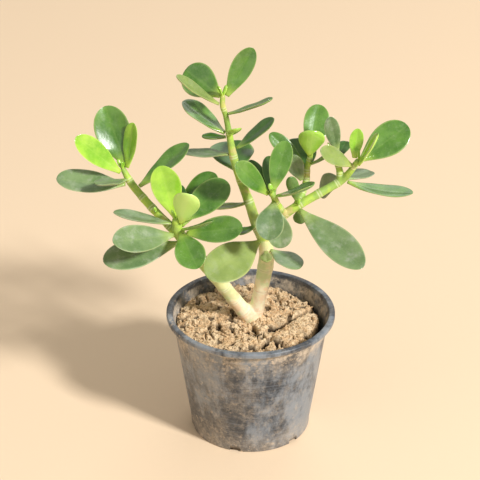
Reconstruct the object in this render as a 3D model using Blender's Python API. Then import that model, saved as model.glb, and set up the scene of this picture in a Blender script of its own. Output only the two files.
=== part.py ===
"""A potted jade plant: a nursery pot, the soil in it, one branching stem and the leaves it bears.

Units are metres, with +Z up and the origin at the middle of the underside of the pot. The front of
the plant faces -Y. Dimensions named with _MM are millimetres, and MM turns them into metres.
"""

import math

import bmesh
import bpy
from mathutils import Vector, noise
from mathutils.bvhtree import BVHTree

MM = 0.001

# ---------------------------------------------------------------- pot
POT_HEIGHT_MM = 87.0
RIM_RADIUS_MM = 56.0
RIM_LIP_DROP_MM = 3.4
RIM_TOP_ROUND_MM = 0.7
OPENING_RADIUS_MM = 52.0
BODY_TOP_RADIUS_MM = 52.4
BODY_FOOT_RADIUS_MM = 40.4
WALL_MM = 1.4
FLOOR_TOP_MM = 3.2
FOOT_RECESS_MM = 1.2
FOOT_RING_INNER_MM = 34.5
POT_SEGMENTS = 48
DRAIN_HOLES = 6
DRAIN_RADIUS_MM = 4.0
DRAIN_RING_RADIUS_MM = 25.0
DRAIN_TURN = 0.11
FOOT_NOTCHES = 6
FOOT_NOTCH_WIDTH_MM = 7.0
FOOT_NOTCH_HEIGHT_MM = 2.4
PAD_RADIUS_MM = 15.0

# ---------------------------------------------------------------- soil
SOIL_TOP_MM = 78.0
SOIL_GAP_MM = 0.4
SOIL_SHRINK_MM = 5.6
SOIL_SHRINK_AZIMUTH = -18.0
SOIL_SHRINK_SPREAD = 62.0
SOIL_SHRINK_DEPTH_MM = 26.0
SOIL_SEGMENTS = 40
SOIL_RINGS = 6
CLOD_HEIGHT_MM = 2.6

# ---------------------------------------------------------------- stem
STEM_SIDES = 10
ROOT_DEPTH_MM = 13.0
ROOT_RADIUS_MM = 7.2
ROOT_CLEARANCE_MM = 0.7

# ---------------------------------------------------------------- leaf
LEAF_SEAT_MM = 0.25
LEAF_SEAT_STEP_MM = 0.1
LEAF_SIDES = 8
LEAF_STATIONS = (0.0, 0.1, 0.24, 0.4, 0.56, 0.72, 0.86, 0.955)
LEAF_WIDEST = 0.62
LEAF_THIN_FROM = 0.8
LEAF_THICKNESS_SHARE = 0.15
LEAF_THINNEST_MM = 2.2
LEAF_THICKEST_MM = 3.8
PETIOLE_MM = 3.0

# The stem's members. Each is a run of (x, y, z, radius) in millimetres, from its root to its tip.
LEFT_TRUNK = (
    (0, 5, 77, 5.2),
    (-10, 1, 93, 4.8),
    (-21, -6, 113, 4.5),
    (-33, -13, 133, 4.2),
    (-45, -20, 154, 3.7),
    (-47, -22, 165, 3.0),
)
LEFT_ARM = (
    (-46, -20, 154, 3.2),
    (-58, -13, 164, 2.8),
    (-67, -6, 171, 2.7),
    (-76, 0, 180, 2.6),
    (-81, 2, 189, 1.9),
)
RIGHT_TRUNK = (
    (2, 6, 77, 5.5),
    (5, 5, 91, 4.8),
    (8, 3, 108, 5.0),
    (10, 1, 123, 5.2),
    (10, 0, 132, 4.8),
    (8, 0, 141, 4.3),
    (3, 4, 151, 3.8),
    (-1, 8, 162, 3.3),
    (-6, 12, 175, 3.0),
    (-10, 14, 187, 2.8),
    (-12, 15, 196, 2.6),
    (-14, 16, 208, 2.2),
    (-16, 15, 220, 1.9),
    (-18, 14, 228, 1.9),
    (-18, 14, 234, 1.8),
)
RIGHT_ARM = (
    (8, 0, 141, 4.0),
    (18, -4, 157, 3.2),
    (29, -4, 166, 3.0),
    (43, 0, 173, 2.9),
    (57, 4, 180, 2.7),
    (63, 2, 188, 2.3),
    (67, 0, 196, 1.8),
)
RIGHT_FORK = (
    (57, 4, 180, 2.5),
    (56, 6, 188, 2.2),
    (52, 8, 199, 1.7),
)
FRONT_SHOOT = (
    (18, -4, 157, 2.9),
    (20, -6, 162, 2.7),
    (16, -14, 173, 2.4),
    (13, -20, 183, 2.0),
)
BACK_SHOOT = (
    (29, -4, 166, 2.7),
    (35, 6, 178, 2.2),
    (36, 9, 188, 1.9),
    (38, 10, 196, 1.7),
)

MEMBERS = {
    "left_trunk": LEFT_TRUNK,
    "left_arm": LEFT_ARM,
    "right_trunk": RIGHT_TRUNK,
    "right_arm": RIGHT_ARM,
    "right_fork": RIGHT_FORK,
    "front_shoot": FRONT_SHOOT,
    "back_shoot": BACK_SHOOT,
}

UP = (0, 0, 1)
FRONT = (0, -1, 0.4)
LEFT = (-1, 0, 0.3)
LEFT_FRONT = (-1, -1, 0.3)
FRONT_UP = (0, -1, 1)
UP_FRONT = (0, -1, 2)
HIGH_FRONT = (0, -1, 4)

# Each leaf: the member that bears it, the way down that member from its tip in mm, azimuth and rise
# of the leaf's chord in degrees, length and width in mm, the way its upper face looks, and the
# degrees it curls towards that face along its length.
LEAVES = {
    # the pairs round the far left tip
    "leaf_a1": ("left_arm", 0, 122, 58, 42, 23, FRONT, 10),
    "leaf_a2": ("left_arm", 0, -161, 42, 40, 15, FRONT_UP, 14),
    "leaf_a3": ("left_arm", 0, 45, 72, 31, 13, LEFT_FRONT, 12),
    "leaf_a4": ("left_arm", 11, -173, 8, 48, 19, UP_FRONT, 16),
    "leaf_a5": ("left_arm", 7, -130, 14, 30, 12, UP, 8),
    "leaf_a6": ("left_arm", 15, 32, 30, 45, 18, UP, 10),
    # the crown of the left trunk
    "leaf_b1": ("left_trunk", 0, 148, 72, 37, 19, FRONT, 12),
    "leaf_b2": ("left_trunk", 0, -62, 55, 33, 17, FRONT, 10),
    "leaf_b3": ("left_trunk", 3, 29, 30, 42, 20, FRONT_UP, 8),
    "leaf_b4": ("left_trunk", 8, 57, 34, 46, 22, UP, 12),
    "leaf_b5": ("left_trunk", 6, 90, 41, 30, 11, FRONT, 8),
    "leaf_b6": ("left_trunk", 8, -42, 30, 34, 9, UP, 8),
    "leaf_b7": ("left_trunk", 3, -176, 14, 41, 14, UP, 8),
    "leaf_b8": ("left_trunk", 11, -143, 12, 51, 19, FRONT_UP, 8),
    "leaf_b9": ("left_trunk", 18, -162, -6, 54, 20, FRONT_UP, 10),
    "leaf_b10": ("left_trunk", 6, -66, -23, 34, 19, FRONT_UP, -8),
    "leaf_b11": ("left_trunk", 11, -8, 11, 41, 18, FRONT_UP, 10),
    # the tall middle shoot, from its tip down
    "leaf_c1": ("right_trunk", 0, 20, 56, 36, 14, FRONT, 12),
    "leaf_c2": ("right_trunk", 1, 143, 22, 32, 22, FRONT, 8),
    "leaf_c3": ("right_trunk", 7, -161, 39, 39, 13, HIGH_FRONT, 8),
    "leaf_c4": ("right_trunk", 13, -24, 27, 36, 13, UP, 8),
    "leaf_c5": ("right_trunk", 29, 156, 30, 38, 20, UP, 8),
    "leaf_c6": ("right_trunk", 29, -172, 4, 18, 9, UP, 8),
    "leaf_c7": ("right_trunk", 28, -72, 36, 19, 9, UP, 8),
    "leaf_c8": ("right_trunk", 39, 15, 36, 34, 16, UP, 10),
    "leaf_c9": ("right_trunk", 41, 160, -6, 35, 14, UP, 10),
    "leaf_c10": ("right_trunk", 56, 104, 17, 34, 30, UP, 8),
    "leaf_c11": ("right_trunk", 75, -157, 4, 26, 9, UP, 8),
    # the short shoot at the front of the middle
    "leaf_d1": ("front_shoot", 0, 55, 64, 34, 14, FRONT, 8),
    "leaf_d2": ("front_shoot", 1, -157, 46, 36, 14, FRONT_UP, 8),
    "leaf_d3": ("front_shoot", 4, -31, 29, 32, 17, UP, 10),
    "leaf_d4": ("front_shoot", 6, -101, -37, 29, 18, FRONT_UP, -6),
    "leaf_d5": ("front_shoot", 13, -76, -67, 28, 16, FRONT, -4),
    "leaf_d6": ("front_shoot", 5, 98, 36, 30, 10, FRONT, 8),
    "leaf_d7": ("front_shoot", 8, 122, 28, 34, 10, UP, 8),
    # the old leaves low on the right trunk
    "leaf_d8": ("right_trunk", 100, -132, -7, 54, 26, FRONT_UP, -10),
    "leaf_d9": ("right_trunk", 106, -45, -8, 31, 18, UP, -6),
    "leaf_d10": ("right_trunk", 108, -90, 9, 24, 8, UP, 8),
    "leaf_d11": ("right_trunk", 90, -128, 4, 20, 8, UP, 8),
    # the right arm
    "leaf_e1": ("right_arm", 52, -44, -22, 61, 21, FRONT_UP, 14),
    "leaf_e2": ("right_arm", 50, 61, -75, 16, 10, FRONT, 2),
    "leaf_e3": ("right_arm", 50, -140, 70, 24, 8, FRONT, 6),
    "leaf_e4": ("right_arm", 0, 26, 26, 40, 22, FRONT_UP, 8),
    "leaf_e5": ("right_arm", 0, 93, 79, 21, 9, FRONT, 8),
    "leaf_e6": ("right_arm", 0, -32, 58, 26, 11, LEFT, 8),
    "leaf_e7": ("right_arm", 5, -150, 34, 31, 12, FRONT_UP, -4),
    "leaf_e8": ("right_fork", 0, 179, 83, 24, 10, FRONT, 6),
    "leaf_e9": ("back_shoot", 3, 75, 47, 37, 17, FRONT, 8),
    "leaf_e10": ("back_shoot", 0, -87, 70, 21, 17, FRONT, 4),
    "leaf_e11": ("back_shoot", 10, 157, 38, 33, 11, FRONT_UP, 8),
    "leaf_e12": ("back_shoot", 17, 102, 30, 33, 22, UP, 8),
    "leaf_e13": ("back_shoot", 21, 171, 65, 23, 11, FRONT, 6),
    "leaf_e14": ("right_fork", 6, 65, 20, 18, 10, UP, 6),
    "leaf_e15": ("back_shoot", 8, -32, 38, 22, 9, UP, 6),
    "leaf_e16": ("right_arm", 14, 126, -38, 33, 17, FRONT_UP, 6),
    "leaf_e17": ("right_arm", 19, -18, -2, 47, 17, UP, 24),
    "leaf_e18": ("right_arm", 18, 47, -8, 30, 16, UP, 8),
}


def clear_scene():
    """Removes every object the session starts with."""
    for obj in list(bpy.data.objects):
        bpy.data.objects.remove(obj, do_unlink=True)


def make_material(name, colour, roughness):
    """A non-metallic surface of one colour and roughness."""
    material = bpy.data.materials.new(name)
    material.use_nodes = True
    shader = material.node_tree.nodes["Principled BSDF"]
    shader.inputs["Base Color"].default_value = (*colour, 1.0)
    shader.inputs["Roughness"].default_value = roughness
    shader.inputs["Metallic"].default_value = 0.0
    material.diffuse_color = (*colour, 1.0)
    return material


def make_object(name, points, faces, material, smooth=True):
    """A mesh object from points in millimetres, with its faces turned outward."""
    mesh = bpy.data.meshes.new(name)
    mesh.from_pydata([[c * MM for c in point] for point in points], [], faces)
    tool = bmesh.new()
    tool.from_mesh(mesh)
    bmesh.ops.recalc_face_normals(tool, faces=tool.faces)
    tool.to_mesh(mesh)
    tool.free()
    mesh.polygons.foreach_set("use_smooth", [smooth] * len(mesh.polygons))
    if material is not None:
        mesh.materials.append(material)
    obj = bpy.data.objects.new(name, mesh)
    bpy.context.scene.collection.objects.link(obj)
    return obj


def hide_helper(obj):
    """Keeps a cutter or a joined member out of the finished part."""
    obj.hide_render = True
    obj.display_type = "WIRE"


def add_boolean(obj, other, operation):
    """Joins or cuts obj with other by an exact Boolean."""
    modifier = obj.modifiers.new(other.name, "BOOLEAN")
    modifier.operation = operation
    modifier.solver = "EXACT"
    modifier.object = other
    hide_helper(other)


# ---------------------------------------------------------------- pot


def body_radius(height):
    """Outer radius of the pot's wall at a height, both in mm."""
    top = POT_HEIGHT_MM - RIM_LIP_DROP_MM
    return BODY_FOOT_RADIUS_MM + (BODY_TOP_RADIUS_MM - BODY_FOOT_RADIUS_MM) * height / top


def pot_profile():
    """The pot's closed wall section as (radius, height), from the underside outward and back inside."""
    lip_foot = POT_HEIGHT_MM - RIM_LIP_DROP_MM
    rounding = RIM_TOP_ROUND_MM
    return [
        (0.0, FOOT_RECESS_MM),
        (FOOT_RING_INNER_MM, FOOT_RECESS_MM),
        (FOOT_RING_INNER_MM + 0.8, 0.0),
        (BODY_FOOT_RADIUS_MM - 1.2, 0.0),
        (BODY_FOOT_RADIUS_MM, 1.2),
        (body_radius(lip_foot * 0.5), lip_foot * 0.5),
        (body_radius(lip_foot), lip_foot),
        (RIM_RADIUS_MM - 0.6, lip_foot),
        (RIM_RADIUS_MM, lip_foot + 0.6),
        (RIM_RADIUS_MM, POT_HEIGHT_MM - rounding * 1.6),
        (RIM_RADIUS_MM - rounding, POT_HEIGHT_MM - rounding * 0.4),
        (RIM_RADIUS_MM - 2 * rounding, POT_HEIGHT_MM),
        (OPENING_RADIUS_MM + rounding, POT_HEIGHT_MM - 0.1),
        (OPENING_RADIUS_MM, POT_HEIGHT_MM - rounding),
        (inner_radius(lip_foot - 2.0), lip_foot - 2.0),
        (inner_radius(lip_foot * 0.5), lip_foot * 0.5),
        (inner_radius(FLOOR_TOP_MM + 2.0), FLOOR_TOP_MM + 2.0),
        (inner_radius(FLOOR_TOP_MM) - 2.0, FLOOR_TOP_MM),
        (0.0, FLOOR_TOP_MM),
    ]


def inner_radius(height):
    """Inner radius of the pot's wall at a height, both in mm."""
    return body_radius(height) - WALL_MM


def lathe(name, profile, segments, material):
    """A solid of revolution from a profile whose first and last points lie on the axis."""
    points = []
    rings = []
    for radius, height in profile:
        if radius == 0.0:
            rings.append([len(points)])
            points.append((0.0, 0.0, height))
            continue
        ring = []
        for step in range(segments):
            angle = 2 * math.pi * step / segments
            ring.append(len(points))
            points.append((radius * math.cos(angle), radius * math.sin(angle), height))
        rings.append(ring)
    return make_object(name, points, bridge(rings), material)


def bridge(rings):
    """The faces between neighbouring rings of point numbers, with a fan where a ring is one point."""
    faces = []
    for low, high in zip(rings, rings[1:]):
        if len(low) == 1 and len(high) == 1:
            continue
        count = max(len(low), len(high))
        for step in range(count):
            after = (step + 1) % count
            if len(low) == 1:
                faces.append((low[0], high[after], high[step]))
            elif len(high) == 1:
                faces.append((low[step], low[after], high[0]))
            else:
                faces.append((low[step], low[after], high[after], high[step]))
    return faces


def disc(name, centre, radius, low, high, sides):
    """An upright cylinder between two heights, as a cutter."""
    rings = []
    points = []
    for height in (low, high):
        ring = []
        for step in range(sides):
            angle = 2 * math.pi * step / sides
            ring.append(len(points))
            x = centre[0] + radius * math.cos(angle)
            y = centre[1] + radius * math.sin(angle)
            points.append((x, y, height))
        rings.append(ring)
    faces = bridge(rings)
    faces.append(tuple(rings[0]))
    faces.append(tuple(reversed(rings[1])))
    return make_object(name, points, faces, None, smooth=False)


def notch(name, angle):
    """A block across the foot ring, as a cutter for the gap that lets water out."""
    along = Vector((math.cos(angle), math.sin(angle), 0.0))
    across = Vector((-along.y, along.x, 0.0))
    points = []
    for height in (-1.0, FOOT_NOTCH_HEIGHT_MM):
        narrow = 1.0 if height < 0 else 0.7
        for reach, side in ((FOOT_RING_INNER_MM - 3, -1), (60, -1), (60, 1), (FOOT_RING_INNER_MM - 3, 1)):
            point = along * reach + across * side * narrow * FOOT_NOTCH_WIDTH_MM / 2
            points.append((point.x, point.y, height))
    faces = [(0, 1, 2, 3), (7, 6, 5, 4)]
    for step in range(4):
        after = (step + 1) % 4
        faces.append((step, step + 4, after + 4, after))
    return make_object(name, points, faces, None, smooth=False)


def build_pot(material):
    """The round nursery pot with a turned-down lip, a foot ring with gaps and holes in its floor."""
    pot = lathe("pot", pot_profile(), POT_SEGMENTS, material)
    for step in range(DRAIN_HOLES):
        angle = 2 * math.pi * (step + 0.5) / DRAIN_HOLES + DRAIN_TURN
        centre = (
            DRAIN_RING_RADIUS_MM * math.cos(angle),
            DRAIN_RING_RADIUS_MM * math.sin(angle),
        )
        hole = disc(f"cut_drain_{step}", centre, DRAIN_RADIUS_MM, -2.0, FLOOR_TOP_MM + 2.0, 12)
        add_boolean(pot, hole, "DIFFERENCE")
    pad = disc("join_pad", (0.0, 0.0), PAD_RADIUS_MM, 0.0, FOOT_RECESS_MM + 0.8, 24)
    add_boolean(pot, pad, "UNION")
    for step in range(FOOT_NOTCHES):
        angle = 2 * math.pi * (step + 0.25) / FOOT_NOTCHES
        add_boolean(pot, notch(f"cut_notch_{step}", angle), "DIFFERENCE")
    return pot


# ---------------------------------------------------------------- soil


def soil_reach(azimuth, height):
    """How far the soil reaches from the axis: nearly to the wall, but shrunk away on one side."""
    turn = (math.degrees(azimuth) - SOIL_SHRINK_AZIMUTH + 180) % 360 - 180
    side = math.exp(-((turn / SOIL_SHRINK_SPREAD) ** 2))
    depth = (SOIL_TOP_MM - height) / SOIL_SHRINK_DEPTH_MM
    shrink = SOIL_SHRINK_MM * side * max(0.0, 1.0 - max(0.0, depth))
    ragged = 0.7 * side * math.sin(5 * azimuth + 1.0) * max(0.0, 1.0 - max(0.0, depth))
    return inner_radius(height) - SOIL_GAP_MM - shrink + ragged


def soil_height(x, y):
    """The height of the soil's lumpy surface at a point, in mm."""
    lumps = 1.2 * noise.noise(Vector((x * 0.07, y * 0.07, 3.0)))
    lumps += 0.7 * noise.noise(Vector((x * 0.17, y * 0.17, 9.0)))
    clod = CLOD_HEIGHT_MM * math.exp(-(((x - 36) / 9) ** 2 + ((y + 14) / 14) ** 2) ** 2)
    return SOIL_TOP_MM + lumps + 0.6 * clod


def build_soil(material):
    """The root ball: one solid lump with a socket for the root."""
    side_heights = (FLOOR_TOP_MM + SOIL_GAP_MM, FLOOR_TOP_MM + SOIL_GAP_MM + 3.0, 50.0, 68.0)
    points = [(0.0, 0.0, side_heights[0])]
    rings = [[0]]
    for level, height in enumerate(side_heights):
        ring = []
        for step in range(SOIL_SEGMENTS):
            azimuth = 2 * math.pi * step / SOIL_SEGMENTS
            reach = soil_reach(azimuth, height)
            if level == 0:
                reach -= 3.0
            ring.append(len(points))
            points.append((reach * math.cos(azimuth), reach * math.sin(azimuth), height))
        rings.append(ring)
    for inset in range(SOIL_RINGS):
        share = 1.0 - inset / SOIL_RINGS
        ring = []
        for step in range(SOIL_SEGMENTS):
            azimuth = 2 * math.pi * step / SOIL_SEGMENTS
            reach = soil_reach(azimuth, SOIL_TOP_MM - 1.0) * share
            x = reach * math.cos(azimuth)
            y = reach * math.sin(azimuth)
            drop = 1.2 if inset == 0 else 0.0
            ring.append(len(points))
            points.append((x, y, soil_height(x, y) - drop))
        rings.append(ring)
    rings.append([len(points)])
    points.append((0.0, 0.0, soil_height(0.0, 0.0)))
    soil = make_object("soil", points, bridge(rings), material)
    root_x, root_y = root_centre()
    low = SOIL_TOP_MM - ROOT_DEPTH_MM - ROOT_CLEARANCE_MM
    radius = ROOT_RADIUS_MM + ROOT_CLEARANCE_MM
    socket = disc("cut_socket", (root_x, root_y), radius, low, SOIL_TOP_MM + 8, 2 * STEM_SIDES)
    add_boolean(soil, socket, "DIFFERENCE")
    return soil


# ---------------------------------------------------------------- stem


def root_centre():
    """The middle of the root, between the feet of the two trunks."""
    return (
        (LEFT_TRUNK[0][0] + RIGHT_TRUNK[0][0]) / 2,
        (LEFT_TRUNK[0][1] + RIGHT_TRUNK[0][1]) / 2,
    )


def smooth_run(run, steps):
    """Points along a rounded line through the run's points, each with its radius."""
    knots = [Vector(knot) for knot in run]
    knots = [2 * knots[0] - knots[1], *knots, 2 * knots[-1] - knots[-2]]
    line = []
    for before, start, end, after in zip(knots, knots[1:], knots[2:], knots[3:]):
        for step in range(steps):
            t = step / steps
            line.append(
                0.5
                * (
                    2 * start
                    + (end - before) * t
                    + (2 * before - 5 * start + 4 * end - after) * t * t
                    + (3 * start - before - 3 * end + after) * t**3
                )
            )
    line.append(knots[-2])
    return line


def tube(name, run, steps, turn, material):
    """A member of the stem: round, tapering, with a domed end at its tip."""
    line = smooth_run(run, steps)
    centres = [point.to_3d() for point in line]
    radii = [point[3] for point in line]
    tip_way = (centres[-1] - centres[-2]).normalized()
    for share, shrink in ((0.55, 0.75), (0.9, 0.35)):
        centres.append(centres[len(line) - 1] + tip_way * radii[len(line) - 1] * share)
        radii.append(radii[len(line) - 1] * shrink)
    side = Vector((1.0, 0.0, 0.0))
    points = []
    rings = []
    for index, (centre, radius) in enumerate(zip(centres, radii)):
        ahead = centres[min(index + 1, len(centres) - 1)]
        behind = centres[max(index - 1, 0)]
        way = (ahead - behind).normalized()
        side = (side - way * side.dot(way)).normalized()
        other = way.cross(side)
        ring = []
        for step in range(STEM_SIDES):
            angle = 2 * math.pi * step / STEM_SIDES + turn
            point = centre + (side * math.cos(angle) + other * math.sin(angle)) * radius
            ring.append(len(points))
            points.append(tuple(point))
        rings.append(ring)
    faces = bridge(rings)
    faces.append(tuple(rings[0]))
    faces.append(tuple(reversed(rings[-1])))
    return make_object(name, points, faces, material)


def build_stem(material):
    """The one woody body: a root in the soil, two trunks in a V, and the shoots they bear."""
    root_x, root_y = root_centre()
    root_run = (
        (root_x, root_y, SOIL_TOP_MM - ROOT_DEPTH_MM, ROOT_RADIUS_MM * 0.8),
        (root_x, root_y, SOIL_TOP_MM - 4.0, ROOT_RADIUS_MM * 0.96),
        (root_x, root_y, SOIL_TOP_MM + 3.0, ROOT_RADIUS_MM * 0.95),
        (root_x, root_y, SOIL_TOP_MM + 9.0, ROOT_RADIUS_MM * 0.8),
    )
    stem = tube("stem", root_run, 2, 0.0, material)
    for number, (name, run) in enumerate(MEMBERS.items()):
        turn = 0.13 * (number + 1)
        add_boolean(stem, tube(f"join_{name}", run, 2, turn, None), "UNION")
    return stem


# ---------------------------------------------------------------- leaves


def point_below_tip(run, below):
    """The centre and radius of a member this many mm down from its tip."""
    knots = [Vector(knot) for knot in reversed(run)]
    left = below
    for tipward, rootward in zip(knots, knots[1:]):
        length = (rootward.to_3d() - tipward.to_3d()).length
        if left <= length:
            return tipward.lerp(rootward, left / length)
        left -= length
    return knots[-1]


def leaf_width_share(station):
    """The blade's half width along its length, from 0 to 1: a narrow foot and a broad, round end."""
    if station < LEAF_WIDEST:
        return math.sin(math.pi / 2 * station / LEAF_WIDEST) ** 1.25
    past = (station - LEAF_WIDEST) / (1 - LEAF_WIDEST)
    return math.sqrt(max(0.0, 1 - past * past))


def unit_from_angles(azimuth, rise):
    """The unit vector at an azimuth from +X and a rise from level, in degrees."""
    turn = math.radians(azimuth)
    lift = math.radians(rise)
    return Vector(
        (
            math.cos(lift) * math.cos(turn),
            math.cos(lift) * math.sin(turn),
            math.sin(lift),
        )
    )


def leaf_rings(start, end, looks, width, curl):
    """The rings of points of one leaf between its foot and its tip, with the tip as a ring of one."""
    chord = end - start
    way = chord.normalized()
    upper = Vector(looks)
    upper = (upper - way * upper.dot(way)).normalized()
    across = way.cross(upper)
    bend = math.radians(curl)
    radius = chord.length / (2 * math.sin(bend / 2))
    thickness = min(LEAF_THICKEST_MM, max(LEAF_THINNEST_MM, width * LEAF_THICKNESS_SHARE))
    rings = []
    for station in LEAF_STATIONS:
        turned = bend * station - bend / 2
        along = radius * (math.sin(turned) + math.sin(bend / 2))
        raised = radius * (math.cos(bend / 2) - math.cos(turned))
        centre = start + way * along + upper * raised
        normal = upper * math.cos(turned) - way * math.sin(turned)
        share = leaf_width_share(station)
        half_width = width / 2 * share
        if station < LEAF_WIDEST:
            half_width = PETIOLE_MM / 2 + (width - PETIOLE_MM) / 2 * share
        fleshy = math.sqrt(1 - max(0.0, (station - LEAF_THIN_FROM) / (1 - LEAF_THIN_FROM)) ** 2)
        half_thick = min(thickness / 2 * (0.3 + 0.7 * fleshy), half_width * 0.9)
        ring = []
        for step in range(LEAF_SIDES):
            angle = 2 * math.pi * step / LEAF_SIDES
            point = centre + across * half_width * math.cos(angle)
            ring.append(point + normal * half_thick * math.sin(angle))
        rings.append(ring)
    rings.append([end])
    return rings


def clears(rings, stem_tree):
    """Whether the foot of a leaf stands clear of the stem by at least the seat."""
    for ring in rings[:3]:
        for point in (*ring, sum(ring, Vector()) / len(ring)):
            spot, normal, _, distance = stem_tree.find_nearest(point * MM)
            if distance < LEAF_SEAT_MM * MM or (point * MM - spot).dot(normal) < 0:
                return False
    return True


def build_leaf(name, row, stem_tree, material):
    """One fleshy leaf: a flattened, curled body whose foot stops just short of the stem's skin."""
    member, below, azimuth, rise, length, width, looks, curl = row
    run = MEMBERS[member]
    foot = point_below_tip(run, below)
    growth = (foot - point_below_tip(run, below + 2.0)).to_3d().normalized()
    way = unit_from_angles(azimuth, rise)
    leave = way
    if below <= 1 and way.dot(growth) > 0.6:
        # A leaf at the tip of its shoot starts beside the bud.
        leave = (way - growth * way.dot(growth)).normalized()
    end = foot.to_3d() + way * length
    reach = foot[3]
    rings = []
    while not rings or not clears(rings, stem_tree):
        reach += LEAF_SEAT_STEP_MM
        rings = leaf_rings(foot.to_3d() + leave * reach, end, looks, width, curl)
    points = []
    numbers = []
    for ring in rings:
        numbers.append(list(range(len(points), len(points) + len(ring))))
        points.extend(tuple(point) for point in ring)
    faces = bridge(numbers)
    faces.append(tuple(numbers[0]))
    return make_object(name, points, faces, material)


LIME = ("leaf_a2", "leaf_a3", "leaf_b2", "leaf_e5", "leaf_e6", "leaf_e8", "leaf_e10", "leaf_c1")


def main():
    """Builds the whole plant."""
    clear_scene()
    plastic = make_material("pot_plastic", (0.07, 0.075, 0.085), 0.55)
    earth = make_material("dry_soil", (0.42, 0.30, 0.19), 0.95)
    bark = make_material("stem_skin", (0.60, 0.50, 0.30), 0.6)
    mature = make_material("leaf_green", (0.09, 0.22, 0.09), 0.4)
    young = make_material("leaf_lime", (0.25, 0.48, 0.08), 0.4)
    build_pot(plastic)
    build_soil(earth)
    stem = build_stem(bark)
    stem_tree = BVHTree.FromObject(stem, bpy.context.evaluated_depsgraph_get())
    for name, row in LEAVES.items():
        build_leaf(name, row, stem_tree, young if name in LIME else mature)


main()
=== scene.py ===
"""Looks for the potted jade plant: pot, soil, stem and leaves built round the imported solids.

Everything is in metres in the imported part's own frame: +Z is up, the front faces -Y, and the origin is
the middle of the underside of the pot. MM turns millimetres into metres.
"""

import logging
import math
import random
from dataclasses import dataclass, field
from enum import Enum
from typing import Iterable, Iterator, Sequence

import bmesh
import bpy
import numpy as np
from mathutils import Matrix, Vector, noise
from mathutils.bvhtree import BVHTree


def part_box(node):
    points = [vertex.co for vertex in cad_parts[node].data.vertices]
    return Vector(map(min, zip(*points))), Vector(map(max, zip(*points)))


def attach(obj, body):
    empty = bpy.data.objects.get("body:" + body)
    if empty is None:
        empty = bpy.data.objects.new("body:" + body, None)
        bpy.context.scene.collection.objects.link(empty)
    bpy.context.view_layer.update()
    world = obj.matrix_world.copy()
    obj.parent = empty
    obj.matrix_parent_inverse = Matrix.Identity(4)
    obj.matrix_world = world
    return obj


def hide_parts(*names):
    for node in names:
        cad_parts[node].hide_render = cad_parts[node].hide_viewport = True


MM = 0.001
BODY = "root"
LOG = logging.getLogger("jade_plant")

Colour = tuple[float, float, float]


# ---------------------------------------------------------------- helpers


class Signal:
    """One output of a node, which can be scaled, added to, or taken from a number."""

    def __init__(self, board: "Board", socket: bpy.types.NodeSocket) -> None:
        """Holds an output socket and the board that it is on."""
        self.board = board
        self.socket = socket

    def __mul__(self, other: object) -> "Signal":
        """The product with a number or another signal."""
        return self.board.math("MULTIPLY", self, other)

    def __add__(self, other: object) -> "Signal":
        """The sum with a number or another signal."""
        return self.board.math("ADD", self, other)

    def __rsub__(self, other: float) -> "Signal":
        """A number with this signal taken away."""
        return self.board.math("SUBTRACT", other, self)


class Board:
    """A short way to lay out the nodes of one tree."""

    def __init__(self, tree: bpy.types.NodeTree) -> None:
        """Starts on a tree."""
        self.tree = tree

    def add(self, kind: str, inputs: dict | None = None, **settings: object) -> bpy.types.Node:
        """Adds a node, sets its properties and fills or links its inputs.

        Args:
            kind: The node's type name.
            inputs: Socket name or number to a value or a signal.
            settings: Properties of the node.

        Returns:
            The new node.
        """
        node = self.tree.nodes.new(kind)
        for key, value in settings.items():
            setattr(node, key, value)
        for key, value in (inputs or {}).items():
            self.feed(node.inputs[key], value)
        return node

    def value(
        self, kind: str, inputs: dict | None = None, output: int | str = 0, **settings: object
    ) -> Signal:
        """Adds a node as add does, and gives one of its outputs."""
        return Signal(self, self.add(kind, inputs, **settings).outputs[output])

    def feed(self, socket: bpy.types.NodeSocket, value: object) -> None:
        """Links a signal to a socket, or sets the socket's value.

        Args:
            socket: The input socket.
            value: A signal, or a value of the socket's kind.
        """
        if isinstance(value, Signal):
            self.tree.links.new(value.socket, socket)
        elif isinstance(value, tuple) and len(value) == 3 and socket.type == "RGBA":
            socket.default_value = (*value, 1.0)
        else:
            socket.default_value = value

    def axes(self, vector: Signal) -> list[Signal]:
        """The three numbers of a vector."""
        return [Signal(self, output) for output in self.add("ShaderNodeSeparateXYZ", {0: vector}).outputs]

    def math(self, operation: str, first: object, second: object) -> Signal:
        """One arithmetic step on two values."""
        return self.value("ShaderNodeMath", {0: first, 1: second}, operation=operation)


@dataclass(frozen=True)
class Blotch:
    """Noise cut between two levels, for one mottled layer of a finish.

    Scale counts features per metre. Nothing shows at low, and the full strength shows at high.
    """

    scale: float
    low: float
    high: float
    strength: float = 1.0
    detail: float = 4.0
    rough: float = 0.55
    shift: float = 0.0
    squash: float = 1.0


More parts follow.
